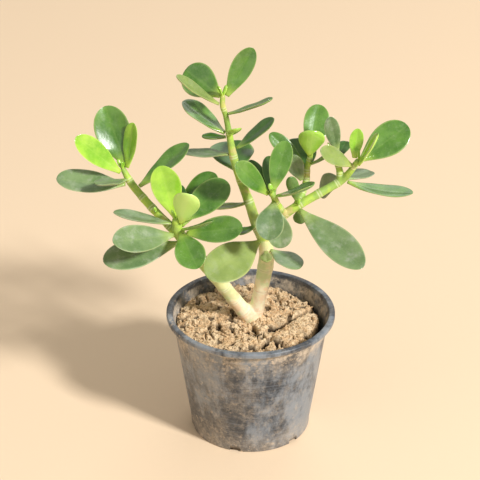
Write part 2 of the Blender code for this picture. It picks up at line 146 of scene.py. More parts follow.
class NodeBoard(Board):
    """The nodes of one material, round its Principled shader."""

    def __init__(self, name: str) -> None:
        """Starts a material.

        Args:
            name: The material's name.
        """
        self.material = bpy.data.materials.new(name)
        self.material.use_nodes = True
        super().__init__(self.material.node_tree)
        self.shader = self.tree.nodes["Principled BSDF"]

    def place(self, shift: float = 0.0, squash: float = 1.0) -> Signal:
        """The object-space position, moved along every axis or squashed along Z if asked.

        Args:
            shift: How far it is moved.
            squash: How much finer patterns become along Z.

        Returns:
            The position.
        """
        spot = self.value("ShaderNodeTexCoord", output="Object")
        if shift == 0.0 and squash == 1.0:
            return spot
        inputs = {"Vector": spot, "Location": (shift,) * 3, "Scale": (1.0, 1.0, squash)}
        return self.value("ShaderNodeMapping", inputs)

    def noise(
        self, scale: float, detail: float = 4.0, rough: float = 0.55, squash: float = 1.0, shift: float = 0.0
    ) -> Signal:
        """A noise value over the object.

        Args:
            scale: Features per metre.
            detail: Octaves.
            rough: How strong the finer octaves are.
            squash: How much finer it is along Z.
            shift: How far the pattern is moved along.

        Returns:
            The noise.
        """
        inputs = {"Vector": self.place(shift, squash), "Scale": scale, "Detail": detail, "Roughness": rough}
        return self.value("ShaderNodeTexNoise", inputs)

    def step(self, value: object, low: float, high: float) -> Signal:
        """A smooth 0 to 1 step of a value between two levels."""
        inputs = {"Value": value, "From Min": low, "From Max": high}
        return self.value("ShaderNodeMapRange", inputs, interpolation_type="SMOOTHSTEP")

    def blotch(self, layer: Blotch) -> Signal:
        """How much of a mottled layer shows."""
        level = self.noise(layer.scale, layer.detail, layer.rough, layer.squash, layer.shift)
        return self.step(level, layer.low, layer.high) * layer.strength

    def mix(self, share: object, first: object, second: object) -> Signal:
        """A blend of two colours by a share from 0 to 1."""
        return self.value("ShaderNodeMix", {0: share, 6: first, 7: second}, output=2, data_type="RGBA")

    def lay(self, colour: object, *layers: tuple[Signal, Colour]) -> Signal:
        """Lays colours over a first one, each by its own share.

        Args:
            colour: The first colour.
            layers: Shares and the colours they bring.

        Returns:
            The blended colour.
        """
        for share, over in layers:
            colour = self.mix(share, colour, over)
        return colour

    def part_of(self, attribute: str) -> list[Signal]:
        """The three numbers that a piece's own vector attribute holds."""
        return self.axes(self.value("ShaderNodeAttribute", output="Vector", attribute_name=attribute))

    def bump(self, height: object, strength: float, distance: float) -> None:
        """Roughens the shading by a height field.

        Args:
            height: The height value.
            strength: From 0 to 1.
            distance: The height of one unit, in metres.
        """
        inputs = {"Height": height, "Strength": strength, "Distance": distance}
        self.feed(self.shader.inputs["Normal"], self.value("ShaderNodeBump", inputs))

    def finish(self, **sockets: object) -> bpy.types.Material:
        """Sets the shader's sockets and gives the material.

        Args:
            sockets: Socket names with underscores for spaces, each with a value or a signal.

        Returns:
            The material.
        """
        for name, value in sockets.items():
            self.feed(self.shader.inputs[name.replace("_", " ")], value)
        return self.material


def turns(count: int) -> list[float]:
    """Evenly spaced angles once round."""
    return [2 * math.pi * step / count for step in range(count)]


def circle(count: int) -> Iterator[tuple[float, float]]:
    """The cosine and sine of evenly spaced angles once round."""
    for angle in turns(count):
        yield math.cos(angle), math.sin(angle)


def make_piece(
    name: str, points: Iterable, faces: Sequence, material: bpy.types.Material
) -> bpy.types.Object:
    """A smooth-shaded mesh object at the origin.

    Args:
        name: The piece's name.
        points: Vertex places in metres.
        faces: Vertex numbers of each face.
        material: Its finish.

    Returns:
        The object, linked to the scene.
    """
    mesh = bpy.data.meshes.new(name)
    mesh.from_pydata([tuple(point) for point in points], [], faces)
    mesh.polygons.foreach_set("use_smooth", [True] * len(mesh.polygons))
    mesh.materials.append(material)
    mesh.update()
    piece = bpy.data.objects.new(name, mesh)
    bpy.context.scene.collection.objects.link(piece)
    return piece


def bridge(rings: Sequence[Sequence[int]]) -> list[tuple[int, ...]]:
    """Faces between neighbouring rings of vertex numbers, with a fan where a ring is one vertex.

    Args:
        rings: The rings in order.

    Returns:
        The faces.
    """
    faces = []
    for low, high in zip(rings, rings[1:]):
        count = max(len(low), len(high))
        for step in range(count):
            after = (step + 1) % count
            if len(low) == 1:
                faces.append((low[0], high[after], high[step]))
            elif len(high) == 1:
                faces.append((low[step], low[after], high[0]))
            else:
                faces.append((low[step], low[after], high[after], high[step]))
    return faces


@dataclass
class Shell:
    """Points gathered ring by ring, and the faces between them."""

    points: list[Sequence[float]] = field(default_factory=list)
    faces: list[tuple[int, ...]] = field(default_factory=list)
    rings: list[list[int]] = field(default_factory=list)

    def ring(self, spots: Iterable[Sequence[float]]) -> None:
        """Adds a ring. A ring of one point is a pole.

        Args:
            spots: The ring's points in order.
        """
        first = len(self.points)
        self.points.extend(spots)
        self.rings.append(list(range(first, len(self.points))))

    def close(self) -> None:
        """Bridges the rings so far, caps an open first or last one, and starts anew."""
        self.faces.extend(bridge(self.rings))
        if len(self.rings[0]) > 1:
            self.faces.append(tuple(reversed(self.rings[0])))
        if len(self.rings[-1]) > 1:
            self.faces.append(tuple(self.rings[-1]))
        self.rings = []

    def make(self, name: str, material: bpy.types.Material) -> bpy.types.Object:
        """Makes a piece of the closed shells.

        Args:
            name: The piece's name.
            material: Its finish.

        Returns:
            The piece.
        """
        if self.rings:
            self.close()
        return make_piece(name, self.points, self.faces, material)


def outward(piece: bpy.types.Object) -> None:
    """Turns a closed piece's faces outward.

    Args:
        piece: The piece.
    """
    tool = bmesh.new()
    tool.from_mesh(piece.data)
    bmesh.ops.recalc_face_normals(tool, faces=tool.faces)
    tool.to_mesh(piece.data)
    tool.free()


def merged_copy(node: bpy.types.Object) -> bmesh.types.BMesh:
    """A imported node's triangles with their shared corners joined.

    Args:
        node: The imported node.

    Returns:
        Its mesh, for the caller to free.
    """
    tool = bmesh.new()
    tool.from_mesh(node.data)
    bmesh.ops.remove_doubles(tool, verts=tool.verts, dist=0.002 * MM)
    return tool


def settle(piece: bpy.types.Object) -> None:
    """Applies a piece's modifiers to its mesh.

    Args:
        piece: The piece.
    """
    graph = bpy.context.evaluated_depsgraph_get()
    made = bpy.data.meshes.new_from_object(piece.evaluated_get(graph))
    old = piece.data
    piece.modifiers.clear()
    piece.data = made
    made.name = piece.name
    bpy.data.meshes.remove(old)


def hand_over(piece: bpy.types.Object, nodes: Iterable[str]) -> None:
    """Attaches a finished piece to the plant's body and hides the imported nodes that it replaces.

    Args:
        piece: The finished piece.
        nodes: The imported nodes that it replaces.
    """
    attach(piece, BODY)
    for node in nodes:
        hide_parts(node)
    LOG.info("%s: %d faces", piece.name, len(piece.data.polygons))


# ---------------------------------------------------------------- leaf finishes


class LeafAgeOrShade(Enum):
    """How old a leaf looks; DARK is no age but painted shade, a darker skin for leaves that lie in shadow."""

    GREEN = "green"
    GREY = "grey"
    LIME = "lime"
    PALE = "pale"
    OLIVE = "olive"
    # Painted shade, not an age: for leaves that lie in shadow.
    DARK = "dark"


LEAF_PATCHES = Blotch(scale=95.0, low=0.38, high=0.64, strength=0.55, detail=3.0)
LEAF_DRIFT = Blotch(scale=16.0, low=0.40, high=0.60, strength=0.45, detail=2.0)
LEAF_FLECKS = Blotch(scale=520.0, low=0.30, high=0.75, strength=0.22, detail=3.0, rough=0.60)
LEAF_BLUSH = Blotch(scale=70.0, low=0.44, high=0.60, strength=0.45)
LEAF_DUST = Blotch(scale=160.0, low=0.46, high=0.75, detail=5.0, rough=0.70)
DUST_COLOUR: Colour = (0.42, 0.45, 0.35)
PORES_PER_METRE = 900.0


@dataclass(frozen=True)
class LeafFinish:
    """The waxy skin of a leaf of one age, or the darker painted shade skin for leaves in shadow."""

    name: str
    face: Colour
    mottle: Colour
    back: Colour
    margin: Colour
    foot: Colour
    roughness: float
    bloom: float
    gloss: float = 0.30
    blush: Colour = (0.240, 0.130, 0.040)

    def make(self) -> bpy.types.Material:
        """Builds the skin: mottled green, a paler margin and foot, and a dull bloom in patches."""
        board = NodeBoard(self.name)
        along, side, top = board.part_of("leaf_map")
        pore_inputs = {"Vector": board.place(), "Scale": PORES_PER_METRE}
        pores = board.value("ShaderNodeTexVoronoi", pore_inputs, output="Distance")
        dust = board.blotch(LEAF_DUST) * self.bloom
        mottling = board.blotch(LEAF_PATCHES) + board.blotch(LEAF_DRIFT)
        colour = board.lay(
            board.mix(mottling, self.face, self.mottle),
            (board.blotch(LEAF_FLECKS), self.back),
            ((1.0 - top) * 0.55, self.back),
            (board.step(along, 0.30, 0.0) * 0.85, self.foot),
            (board.step(side, 0.86, 1.0) * 0.65, self.margin),
            (board.step(side, 0.965, 1.0) * board.blotch(LEAF_BLUSH), self.blush),
            (board.step(side, 0.09, 0.0) * 0.10, self.margin),
            (board.step(pores, 0.22, 0.08) * 0.34, self.margin),
            (dust, DUST_COLOUR),
        )
        swell = board.noise(110.0, 2.0) + board.noise(640.0, 3.0) * 0.35
        board.bump(swell, 0.32, 0.55 * MM)
        return board.finish(
            Base_Color=colour,
            Roughness=board.noise(210.0) * 0.16 + self.roughness + dust * 0.5,
            Specular_IOR_Level=0.50,
            Coat_Weight=self.gloss,
            Coat_Roughness=0.14,
            Subsurface_Weight=0.07,
            Subsurface_Radius=(0.0010, 0.0016, 0.0003),
        )


LEAF_FINISHES = {
    LeafAgeOrShade.GREEN: LeafFinish(
        "leaf_skin_green", (0.055, 0.165, 0.014), (0.140, 0.300, 0.042), (0.190, 0.310, 0.095),
        (0.360, 0.500, 0.140), (0.400, 0.560, 0.080), 0.16, 0.12, 0.40,
    ),
    LeafAgeOrShade.GREY: LeafFinish(
        "leaf_skin_grey", (0.088, 0.170, 0.050), (0.195, 0.290, 0.115), (0.240, 0.320, 0.150),
        (0.420, 0.500, 0.240), (0.380, 0.500, 0.120), 0.32, 0.55,
    ),
    LeafAgeOrShade.LIME: LeafFinish(
        "leaf_skin_lime", (0.160, 0.430, 0.014), (0.400, 0.680, 0.055), (0.440, 0.680, 0.110),
        (0.600, 0.780, 0.160), (0.560, 0.720, 0.090), 0.12, 0.02, 0.60,
    ),
    LeafAgeOrShade.PALE: LeafFinish(
        "leaf_skin_pale", (0.500, 0.840, 0.190), (0.620, 0.920, 0.260), (0.620, 0.880, 0.230),
        (0.720, 0.860, 0.280), (0.620, 0.780, 0.120), 0.28, 0.04,
    ),
    LeafAgeOrShade.OLIVE: LeafFinish(
        "leaf_skin_olive", (0.190, 0.270, 0.060), (0.310, 0.400, 0.110), (0.320, 0.390, 0.120),
        (0.480, 0.520, 0.180), (0.420, 0.500, 0.120), 0.30, 0.22,
    ),
    # Painted shade: a darker copy of the green skin for leaves that lie in shadow.
    LeafAgeOrShade.DARK: LeafFinish(
        "leaf_skin_dark", (0.032, 0.110, 0.012), (0.070, 0.180, 0.026), (0.120, 0.230, 0.050),
        (0.260, 0.400, 0.090), (0.300, 0.440, 0.080), 0.26, 0.08,
    ),
}

LEAF_AGES_AND_SHADE = {
    LeafAgeOrShade.LIME: ("a2", "a3", "b1", "c7", "e5", "e6", "e10"),
    LeafAgeOrShade.PALE: ("b2",),
    LeafAgeOrShade.GREY: ("a4", "a5", "b7", "b8", "b9", "c9", "d4", "d5", "d9", "e1", "e8", "e13", "e16", "e18"),
    LeafAgeOrShade.OLIVE: ("c3", "d8", "e7", "d10", "c11"),
    # These leaves lie in shadow and get the painted shade skin.
    LeafAgeOrShade.DARK: ("c6", "c10", "d6", "d7", "e2", "e3", "e12", "e14", "e15", "b5", "d11", "c8"),
}


def leaf_age_or_shade(name: str) -> LeafAgeOrShade:
    """The age of a leaf from its node's name, or the painted shade for a leaf in shadow.

    Args:
        name: The node's name, or a bud's.

    Returns:
        The age, or the painted shade.
    """
    if name.startswith("bud_"):
        return LeafAgeOrShade.LIME
    short = name.removeprefix("leaf_")
    for age, names in LEAF_AGES_AND_SHADE.items():
        if short in names:
            return age
    return LeafAgeOrShade.GREEN


# ---------------------------------------------------------------- leaves


@dataclass
class LeafSpine:
    """What a packed leaf's rings say: the line through its middle, and its widths."""

    centres: list[Vector]
    across: Vector
    half_width: float
    half_thick: float


@dataclass(frozen=True)
class Bud:
    """A pair of tiny new leaves, placed in millimetres."""

    name: str
    place: tuple[float, float, float]
    up: tuple[float, float, float]
    turn: float
    length: float
    splay: float


BUDS = (
    Bud("left_arm", (-81.5, 2, 190), (-0.2, 0, 1), 40, 6.0, 0.35),
    Bud("left_crown", (-47.5, -22, 166), (0.1, -0.1, 1), 80, 6.5, 0.40),
    Bud("top", (-18, 14, 235), (0.0, -0.1, 1), 120, 7.0, 0.35),
    Bud("right_arm", (68, 0, 197), (0.3, 0, 1), 60, 6.0, 0.35),
    Bud("right_fork", (51.5, 8, 200), (-0.1, 0, 1), 100, 5.5, 0.40),
    Bud("front_shoot", (13, -20.5, 184), (-0.1, -0.2, 1), 30, 5.5, 0.40),
    Bud("back_shoot", (38, 10, 197), (0.1, 0.1, 1), 150, 6.0, 0.35),
    Bud("right_trunk_side", (-5.5, 9.5, 178), (0.7, -0.5, 0.8), 90, 5.0, 0.30),
    Bud("left_arm_side", (-60, -14.5, 167), (-0.2, -0.6, 0.9), 20, 4.0, 0.30),
    Bud("right_arm_side", (30, -6.5, 168.5), (0.1, -0.6, 0.9), 0, 4.0, 0.30),
)


@dataclass
class Foliage:
    """All the leaves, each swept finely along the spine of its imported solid.

    Stations run from 0 at a leaf's foot to 1 at its tip, and most sizes are shares of its own.
    """

    sides: int = 32
    stations: int = 30
    crowding: float = 1.35
    ring_points: int = 8
    widest: float = 0.62
    petiole: float = 1.5 * MM
    foot_curve: float = 1.25
    tip_curve: float = 2.15
    tip_blunt: float = 0.52
    thick_from: float = 0.30
    thin_from: float = 0.72
    thin_curve: float = 2.4
    blade_from: float = 0.35
    upper_fill: float = 0.72
    lower_fill: float = 1.15
    cup: float = 0.19
    deep_cup: float = 1.7
    groove: float = 0.42
    groove_width: float = 0.30
    wave: float = 0.045
    wave_turn: float = 3.2
    deep_cups: tuple[str, ...] = ("leaf_b11", "leaf_b8", "leaf_a1", "leaf_c1")
    bud_steps: int = 6
    bud_gap: float = 0.10
    bud_curve: float = 1.4
    bud_half_width: float = 0.27
    bud_half_thick: float = 0.12
    materials: dict[LeafAgeOrShade, bpy.types.Material] = field(default_factory=dict)

    def build(self, nodes: dict[str, bpy.types.Object]) -> None:
        """Builds every leaf that the frame holds.

        Args:
            nodes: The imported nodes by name.
        """
        self.materials = {age: finish.make() for age, finish in LEAF_FINISHES.items()}
        names = sorted(name for name in nodes if name.startswith("leaf_"))
        for number, name in enumerate(names):
            spine = self.read_spine(nodes[name])
            piece = self.sweep(name, spine, random.Random(1000 + number))
            hand_over(piece, [name])
        for number, bud in enumerate(BUDS):
            self.build_bud(bud, random.Random(2000 + number))

    def build_bud(self, bud: Bud, chance: random.Random) -> None:
        """Builds the pair of tiny leaves that opens at a shoot's tip.

        Args:
            bud: The bud.
            chance: The bud's own random numbers.
        """
        foot = Vector(bud.place) * MM
        up = Vector(bud.up).normalized()
        turn = math.radians(bud.turn)
        side = up.cross(Vector((math.cos(turn), math.sin(turn), 0.0))).normalized()
        for hand, length in ((1, bud.length), (-1, bud.length * chance.uniform(0.75, 0.95))):
            centres = []
            for step in range(self.bud_steps + 1):
                share = step / self.bud_steps
                out = hand * (self.bud_gap + bud.splay * share**self.bud_curve) * length
                centres.append(foot + (up * length * share + side * out) * MM)
            chord = (centres[-1] - centres[0]).normalized()
            across = chord.cross(side).normalized() * hand
            size = length * MM
            spine = LeafSpine(centres, across, self.bud_half_width * size, self.bud_half_thick * size)
            name = f"bud_{bud.name}_{'outer' if hand > 0 else 'inner'}"
            hand_over(self.sweep(name, spine, chance), [])

    def read_spine(self, node: bpy.types.Object) -> LeafSpine:
        """Walks a packed leaf ring by ring, from its tip to its foot.

        Args:
            node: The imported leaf.

        Returns:
            Its spine, foot first.
        """
        tool = merged_copy(node)
        rings = self.walk_rings(tool)
        centres = []
        for ring in reversed(rings):
            middle = Vector()
            for vert in ring:
                middle += vert.co
            centres.append(middle / len(ring))
        widest = max(rings[1:], key=lambda ring: max((a.co - b.co).length for a in ring for b in ring))
        pair = max(((a, b) for a in widest for b in widest), key=lambda ab: (ab[0].co - ab[1].co).length)
        across = (pair[0].co - pair[1].co).normalized()
        half_width = (pair[0].co - pair[1].co).length / 2
        middle = sum((vert.co for vert in widest), Vector()) / len(widest)
        chord = (centres[-1] - centres[0]).normalized()
        normal = across.cross(chord)
        half_thick = max(abs((vert.co - middle).dot(normal)) for vert in widest)
        if normal.z < 0:
            across = -across
        tool.free()
        return LeafSpine(centres, across, half_width, half_thick)

    def walk_rings(self, tool: bmesh.types.BMesh) -> list[list[bmesh.types.BMVert]]:
        """The rings of a packed leaf from its tip, found by stepping from neighbour to neighbour.

        Args:
            tool: The leaf's joined triangles.

        Returns:
            The rings, the first being the tip alone.
        """
        best: list[list[bmesh.types.BMVert]] = []
        for start in tool.verts:
            if len(start.link_edges) != self.ring_points:
                continue
            seen = {start}
            rings = [[start]]
            while True:
                following = []
                for vert in rings[-1]:
                    for edge in vert.link_edges:
                        other = edge.other_vert(vert)
                        if other not in seen:
                            seen.add(other)
                            following.append(other)
                if not following:
                    break
                rings.append(following)
            whole = all(len(ring) == self.ring_points for ring in rings[1:])
            if whole and len(rings) > len(best):
                best = rings
        if not best:
            raise ValueError("a packed leaf has no plain rings")
        return best

    def outline(self, station: float, half_width: float) -> float:
        """The blade's half width at a station from 0 at the foot to 1 at the tip.

        Args:
            station: The station.
            half_width: The leaf's greatest half width.

        Returns:
            The half width in metres.
        """
        foot = min(self.petiole, 0.6 * half_width)
        if station < self.widest:
            share = math.sin(math.pi / 2 * station / self.widest) ** self.foot_curve
            return foot + (half_width - foot) * share
        past = (station - self.widest) / (1 - self.widest)
        return half_width * max(0.0, 1 - past**self.tip_curve) ** self.tip_blunt

    def spine_at(self, spine: LeafSpine, station: float) -> tuple[Vector, Vector]:
        """The place and heading of the spine at a station, on a smooth curve through its centres.

        Args:
            spine: The leaf's spine.
            station: From 0 at the foot to 1 at the tip.

        Returns:
            The point and the unit tangent.
        """
        knots = spine.centres
        lengths = [0.0]
        for start, end in zip(knots, knots[1:]):
            lengths.append(lengths[-1] + (end - start).length)
        goal = station * lengths[-1]
        index = 0
        while index < len(knots) - 2 and lengths[index + 1] < goal:
            index += 1
        span = lengths[index + 1] - lengths[index]
        t = (goal - lengths[index]) / span
        ends = []
        for at in (index, index + 1):
            low = max(at - 1, 0)
            high = min(at + 1, len(knots) - 1)
            ends.append((knots[high] - knots[low]) / (lengths[high] - lengths[low]) * span)
        a, b = knots[index], knots[index + 1]
        place = (
            a * (2 * t**3 - 3 * t**2 + 1)
            + ends[0] * (t**3 - 2 * t**2 + t)
            + b * (3 * t**2 - 2 * t**3)
            + ends[1] * (t**3 - t**2)
        )
        heading = (
            a * (6 * t**2 - 6 * t)
            + ends[0] * (3 * t**2 - 4 * t + 1)
            + b * (6 * t - 6 * t**2)
            + ends[1] * (3 * t**2 - 2 * t)
        )
        return place, heading.normalized()

    def sweep(self, name: str, spine: LeafSpine, chance: random.Random) -> bpy.types.Object:
        """Builds one leaf with a domed back, a flatter cupped face and a soft edge.

        Args:
            name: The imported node's name.
            spine: The leaf's spine.
            chance: The leaf's own random numbers.

        Returns:
            The leaf.
        """
        cup = self.cup * chance.uniform(0.6, 1.3) * (self.deep_cup if name in self.deep_cups else 1.0)
        wave = self.wave * chance.uniform(0.5, 1.4)
        phase = chance.uniform(0, 2 * math.pi)
        skew = chance.uniform(-0.05, 0.05)
        foot = min(self.petiole * 0.9, 0.8 * spine.half_thick)
        shell = Shell()
        marks: list[tuple[float, float, float]] = []
        for row in range(self.stations):
            station = 1 - (1 - row / self.stations) ** self.crowding
            place, heading = self.spine_at(spine, station)
            normal = spine.across.cross(heading).normalized()
            half_width = self.outline(station, spine.half_width)
            thinned = max(0.0, (station - self.thin_from) / (1 - self.thin_from))
            taper = math.sqrt(max(0.0, 1 - thinned**self.thin_curve))
            body = foot + (spine.half_thick - foot) * min(1.0, station / self.thick_from)
            half_thick = min(body * taper, max(half_width * 0.9, 0.02 * MM))
            blade = min(1.0, station / self.blade_from)
            ring = []
            for x, rise in circle(self.sides):
                height = abs(rise) ** (1.0 + 0.25 * blade) * half_thick
                if rise >= 0:
                    height *= 1 - (1 - self.upper_fill) * blade
                    dip = math.exp(-((x / self.groove_width) ** 2))
                    height -= self.groove * blade * taper * half_thick * dip
                else:
                    height *= -(1 + (self.lower_fill - 1) * blade)
                ripple = math.sin(self.wave_turn * math.pi * station + phase)
                height += (cup * x * x + wave * ripple * x * abs(x)) * half_width * blade
                side = x * half_width * (1 + skew * math.sin(math.pi * station) * x)
                ring.append(place + spine.across * side + normal * height)
                marks.append((station, abs(x), 0.5 + 0.5 * max(-1.0, min(1.0, rise * 3))))
            shell.ring(ring)
        shell.ring([self.spine_at(spine, 1.0)[0]])
        marks.append((1.0, 0.0, 0.5))
        piece = shell.make(name + "_blade", self.materials[leaf_age_or_shade(name)])
        outward(piece)
        layer = piece.data.attributes.new("leaf_map", "FLOAT_VECTOR", "POINT")
        layer.data.foreach_set("vector", np.array(marks, np.float32).ravel())
        return piece


# ---------------------------------------------------------------- stem


@dataclass(frozen=True)
class Member:
    """One run of the stem, as (x, y, z, radius) in millimetres from its root to its tip."""

    name: str
    run: tuple[tuple[float, float, float, float], ...]
    young: tuple[float, float]
    scars: float


STEM_MEMBERS = (
    Member(
        "root",
        ((1, 5.5, 65, 5.6), (1, 5.5, 74, 6.8), (1, 5.5, 80, 6.9), (1, 5.5, 84, 6.0)),
        (0.0, 0.0), 0.0,
    ),
    Member(
        "left_trunk",
        ((0, 5, 77, 5.6), (-10, 1, 93, 4.8), (-21, -6, 113, 4.5), (-33, -13, 133, 4.2),
         (-45, -20, 154, 3.7), (-47, -22, 165, 2.9)),
        (0.05, 0.80), 15.0,
    ),
    Member(
        "left_arm",
        ((-46, -20, 154, 3.1), (-58, -13, 164, 2.7), (-67, -6, 171, 2.6), (-76, 0, 180, 2.5),
         (-81, 2, 189, 1.8)),
        (0.80, 1.0), 13.0,
    ),
    Member(
        "right_trunk",
        ((2, 6, 77, 6.0), (5, 5, 91, 4.8), (8, 3, 108, 5.0), (10, 1, 123, 5.2), (10, 0, 132, 4.8),
         (8, 0, 141, 4.3), (3, 4, 151, 3.7), (-1, 8, 162, 3.2), (-6, 12, 175, 2.9), (-10, 14, 187, 2.7),
         (-12, 15, 196, 2.5), (-14, 16, 208, 2.1), (-16, 15, 220, 1.8), (-18, 14, 228, 1.8),
         (-18, 14, 234, 1.7)),
        (0.0, 1.0), 15.0,
    ),
    Member(
        "right_arm",
        ((8, 0, 141, 4.0), (18, -4, 157, 3.1), (29, -4, 166, 2.9), (43, 0, 173, 2.8), (57, 4, 180, 2.6),
         (63, 2, 188, 2.2), (67, 0, 196, 1.7)),
        (0.62, 0.95), 14.0,
    ),
    Member("right_fork", ((57, 4, 180, 2.4), (56, 6, 188, 2.1), (52, 8, 199, 1.6)), (0.85, 1.0), 8.0),
    Member(
        "front_shoot",
        ((18, -4, 157, 2.8), (20, -6, 162, 2.6), (16, -14, 173, 2.3), (13, -20, 183, 1.9)), (0.7, 1.0), 8.0,
    ),
    Member(
        "back_shoot",
        ((29, -4, 166, 2.6), (35, 6, 178, 2.1), (36, 9, 188, 1.8), (38, 10, 196, 1.6)), (0.8, 1.0), 8.0,
    ),
)


STEM_MOSS = Blotch(scale=75.0, low=0.50, high=0.60, strength=0.75, detail=5.0, rough=0.60)
STEM_TAN = Blotch(scale=95.0, low=0.52, high=0.64, strength=0.60, detail=5.0, rough=0.65, shift=0.3)
STEM_WARMTH = Blotch(scale=130.0, low=0.42, high=0.60, strength=0.65, detail=5.0, rough=0.65)
STEM_FLAKES = Blotch(scale=420.0, low=0.55, high=0.66, strength=0.45, detail=5.0, rough=0.70)
STEM_LIME = Blotch(scale=120.0, low=0.40, high=0.62)
STEM_RIPE = Blotch(scale=60.0, low=0.54, high=0.66, strength=0.45, rough=0.60, shift=0.8)
STEM_SCARS = Blotch(scale=160.0, low=0.36, high=0.54, strength=0.72)


@dataclass(frozen=True)
class StemFinish:
    """Skin of the stem: cream and old at the foot, lime where it is young."""

    old: Colour = (0.96, 0.86, 0.58)
    tan: Colour = (0.90, 0.55, 0.33)
    green: Colour = (0.66, 0.78, 0.40)
    shoot: Colour = (0.32, 0.48, 0.10)
    lime: Colour = (0.46, 0.64, 0.09)
    peel: Colour = (0.93, 0.86, 0.66)
    scar: Colour = (0.38, 0.22, 0.10)
    warm_heights: tuple[float, float] = (0.125, 0.082)

    def make(self) -> bpy.types.Material:
        """Builds the skin."""
        board = NodeBoard("stem_bark")
        young, scar, _ = board.part_of("stem_map")
        foot = board.step(board.axes(board.place())[2], *self.warm_heights)
        old = board.lay(
            self.old,
            (board.blotch(STEM_MOSS), self.green),
            (board.blotch(STEM_TAN), self.tan),
            (foot * board.blotch(STEM_WARMTH), self.tan),
            (board.blotch(STEM_FLAKES), self.peel),
        )
        fresh = board.lay(
            self.shoot,
            (board.blotch(STEM_LIME), self.lime),
            (board.blotch(STEM_RIPE), self.tan),
        )
        shoulder = board.step(scar, 0.04, 0.30) * board.step(scar, 0.75, 0.45)
        colour = board.lay(
            board.mix(board.step(young, 0.12, 0.60), old, fresh),
            (shoulder * 0.35, self.peel),
            (board.step(scar, 0.55, 0.95) * board.blotch(STEM_SCARS), self.scar),
        )
        board.bump(board.noise(420.0, 5.0, 0.6) + scar * -1.2, 0.45, 0.4 * MM)
        return board.finish(
            Base_Color=colour,
            Roughness=0.52,
            Specular_IOR_Level=0.35,
            Subsurface_Weight=0.08,
            Subsurface_Radius=(0.0015, 0.0012, 0.0005),
        )


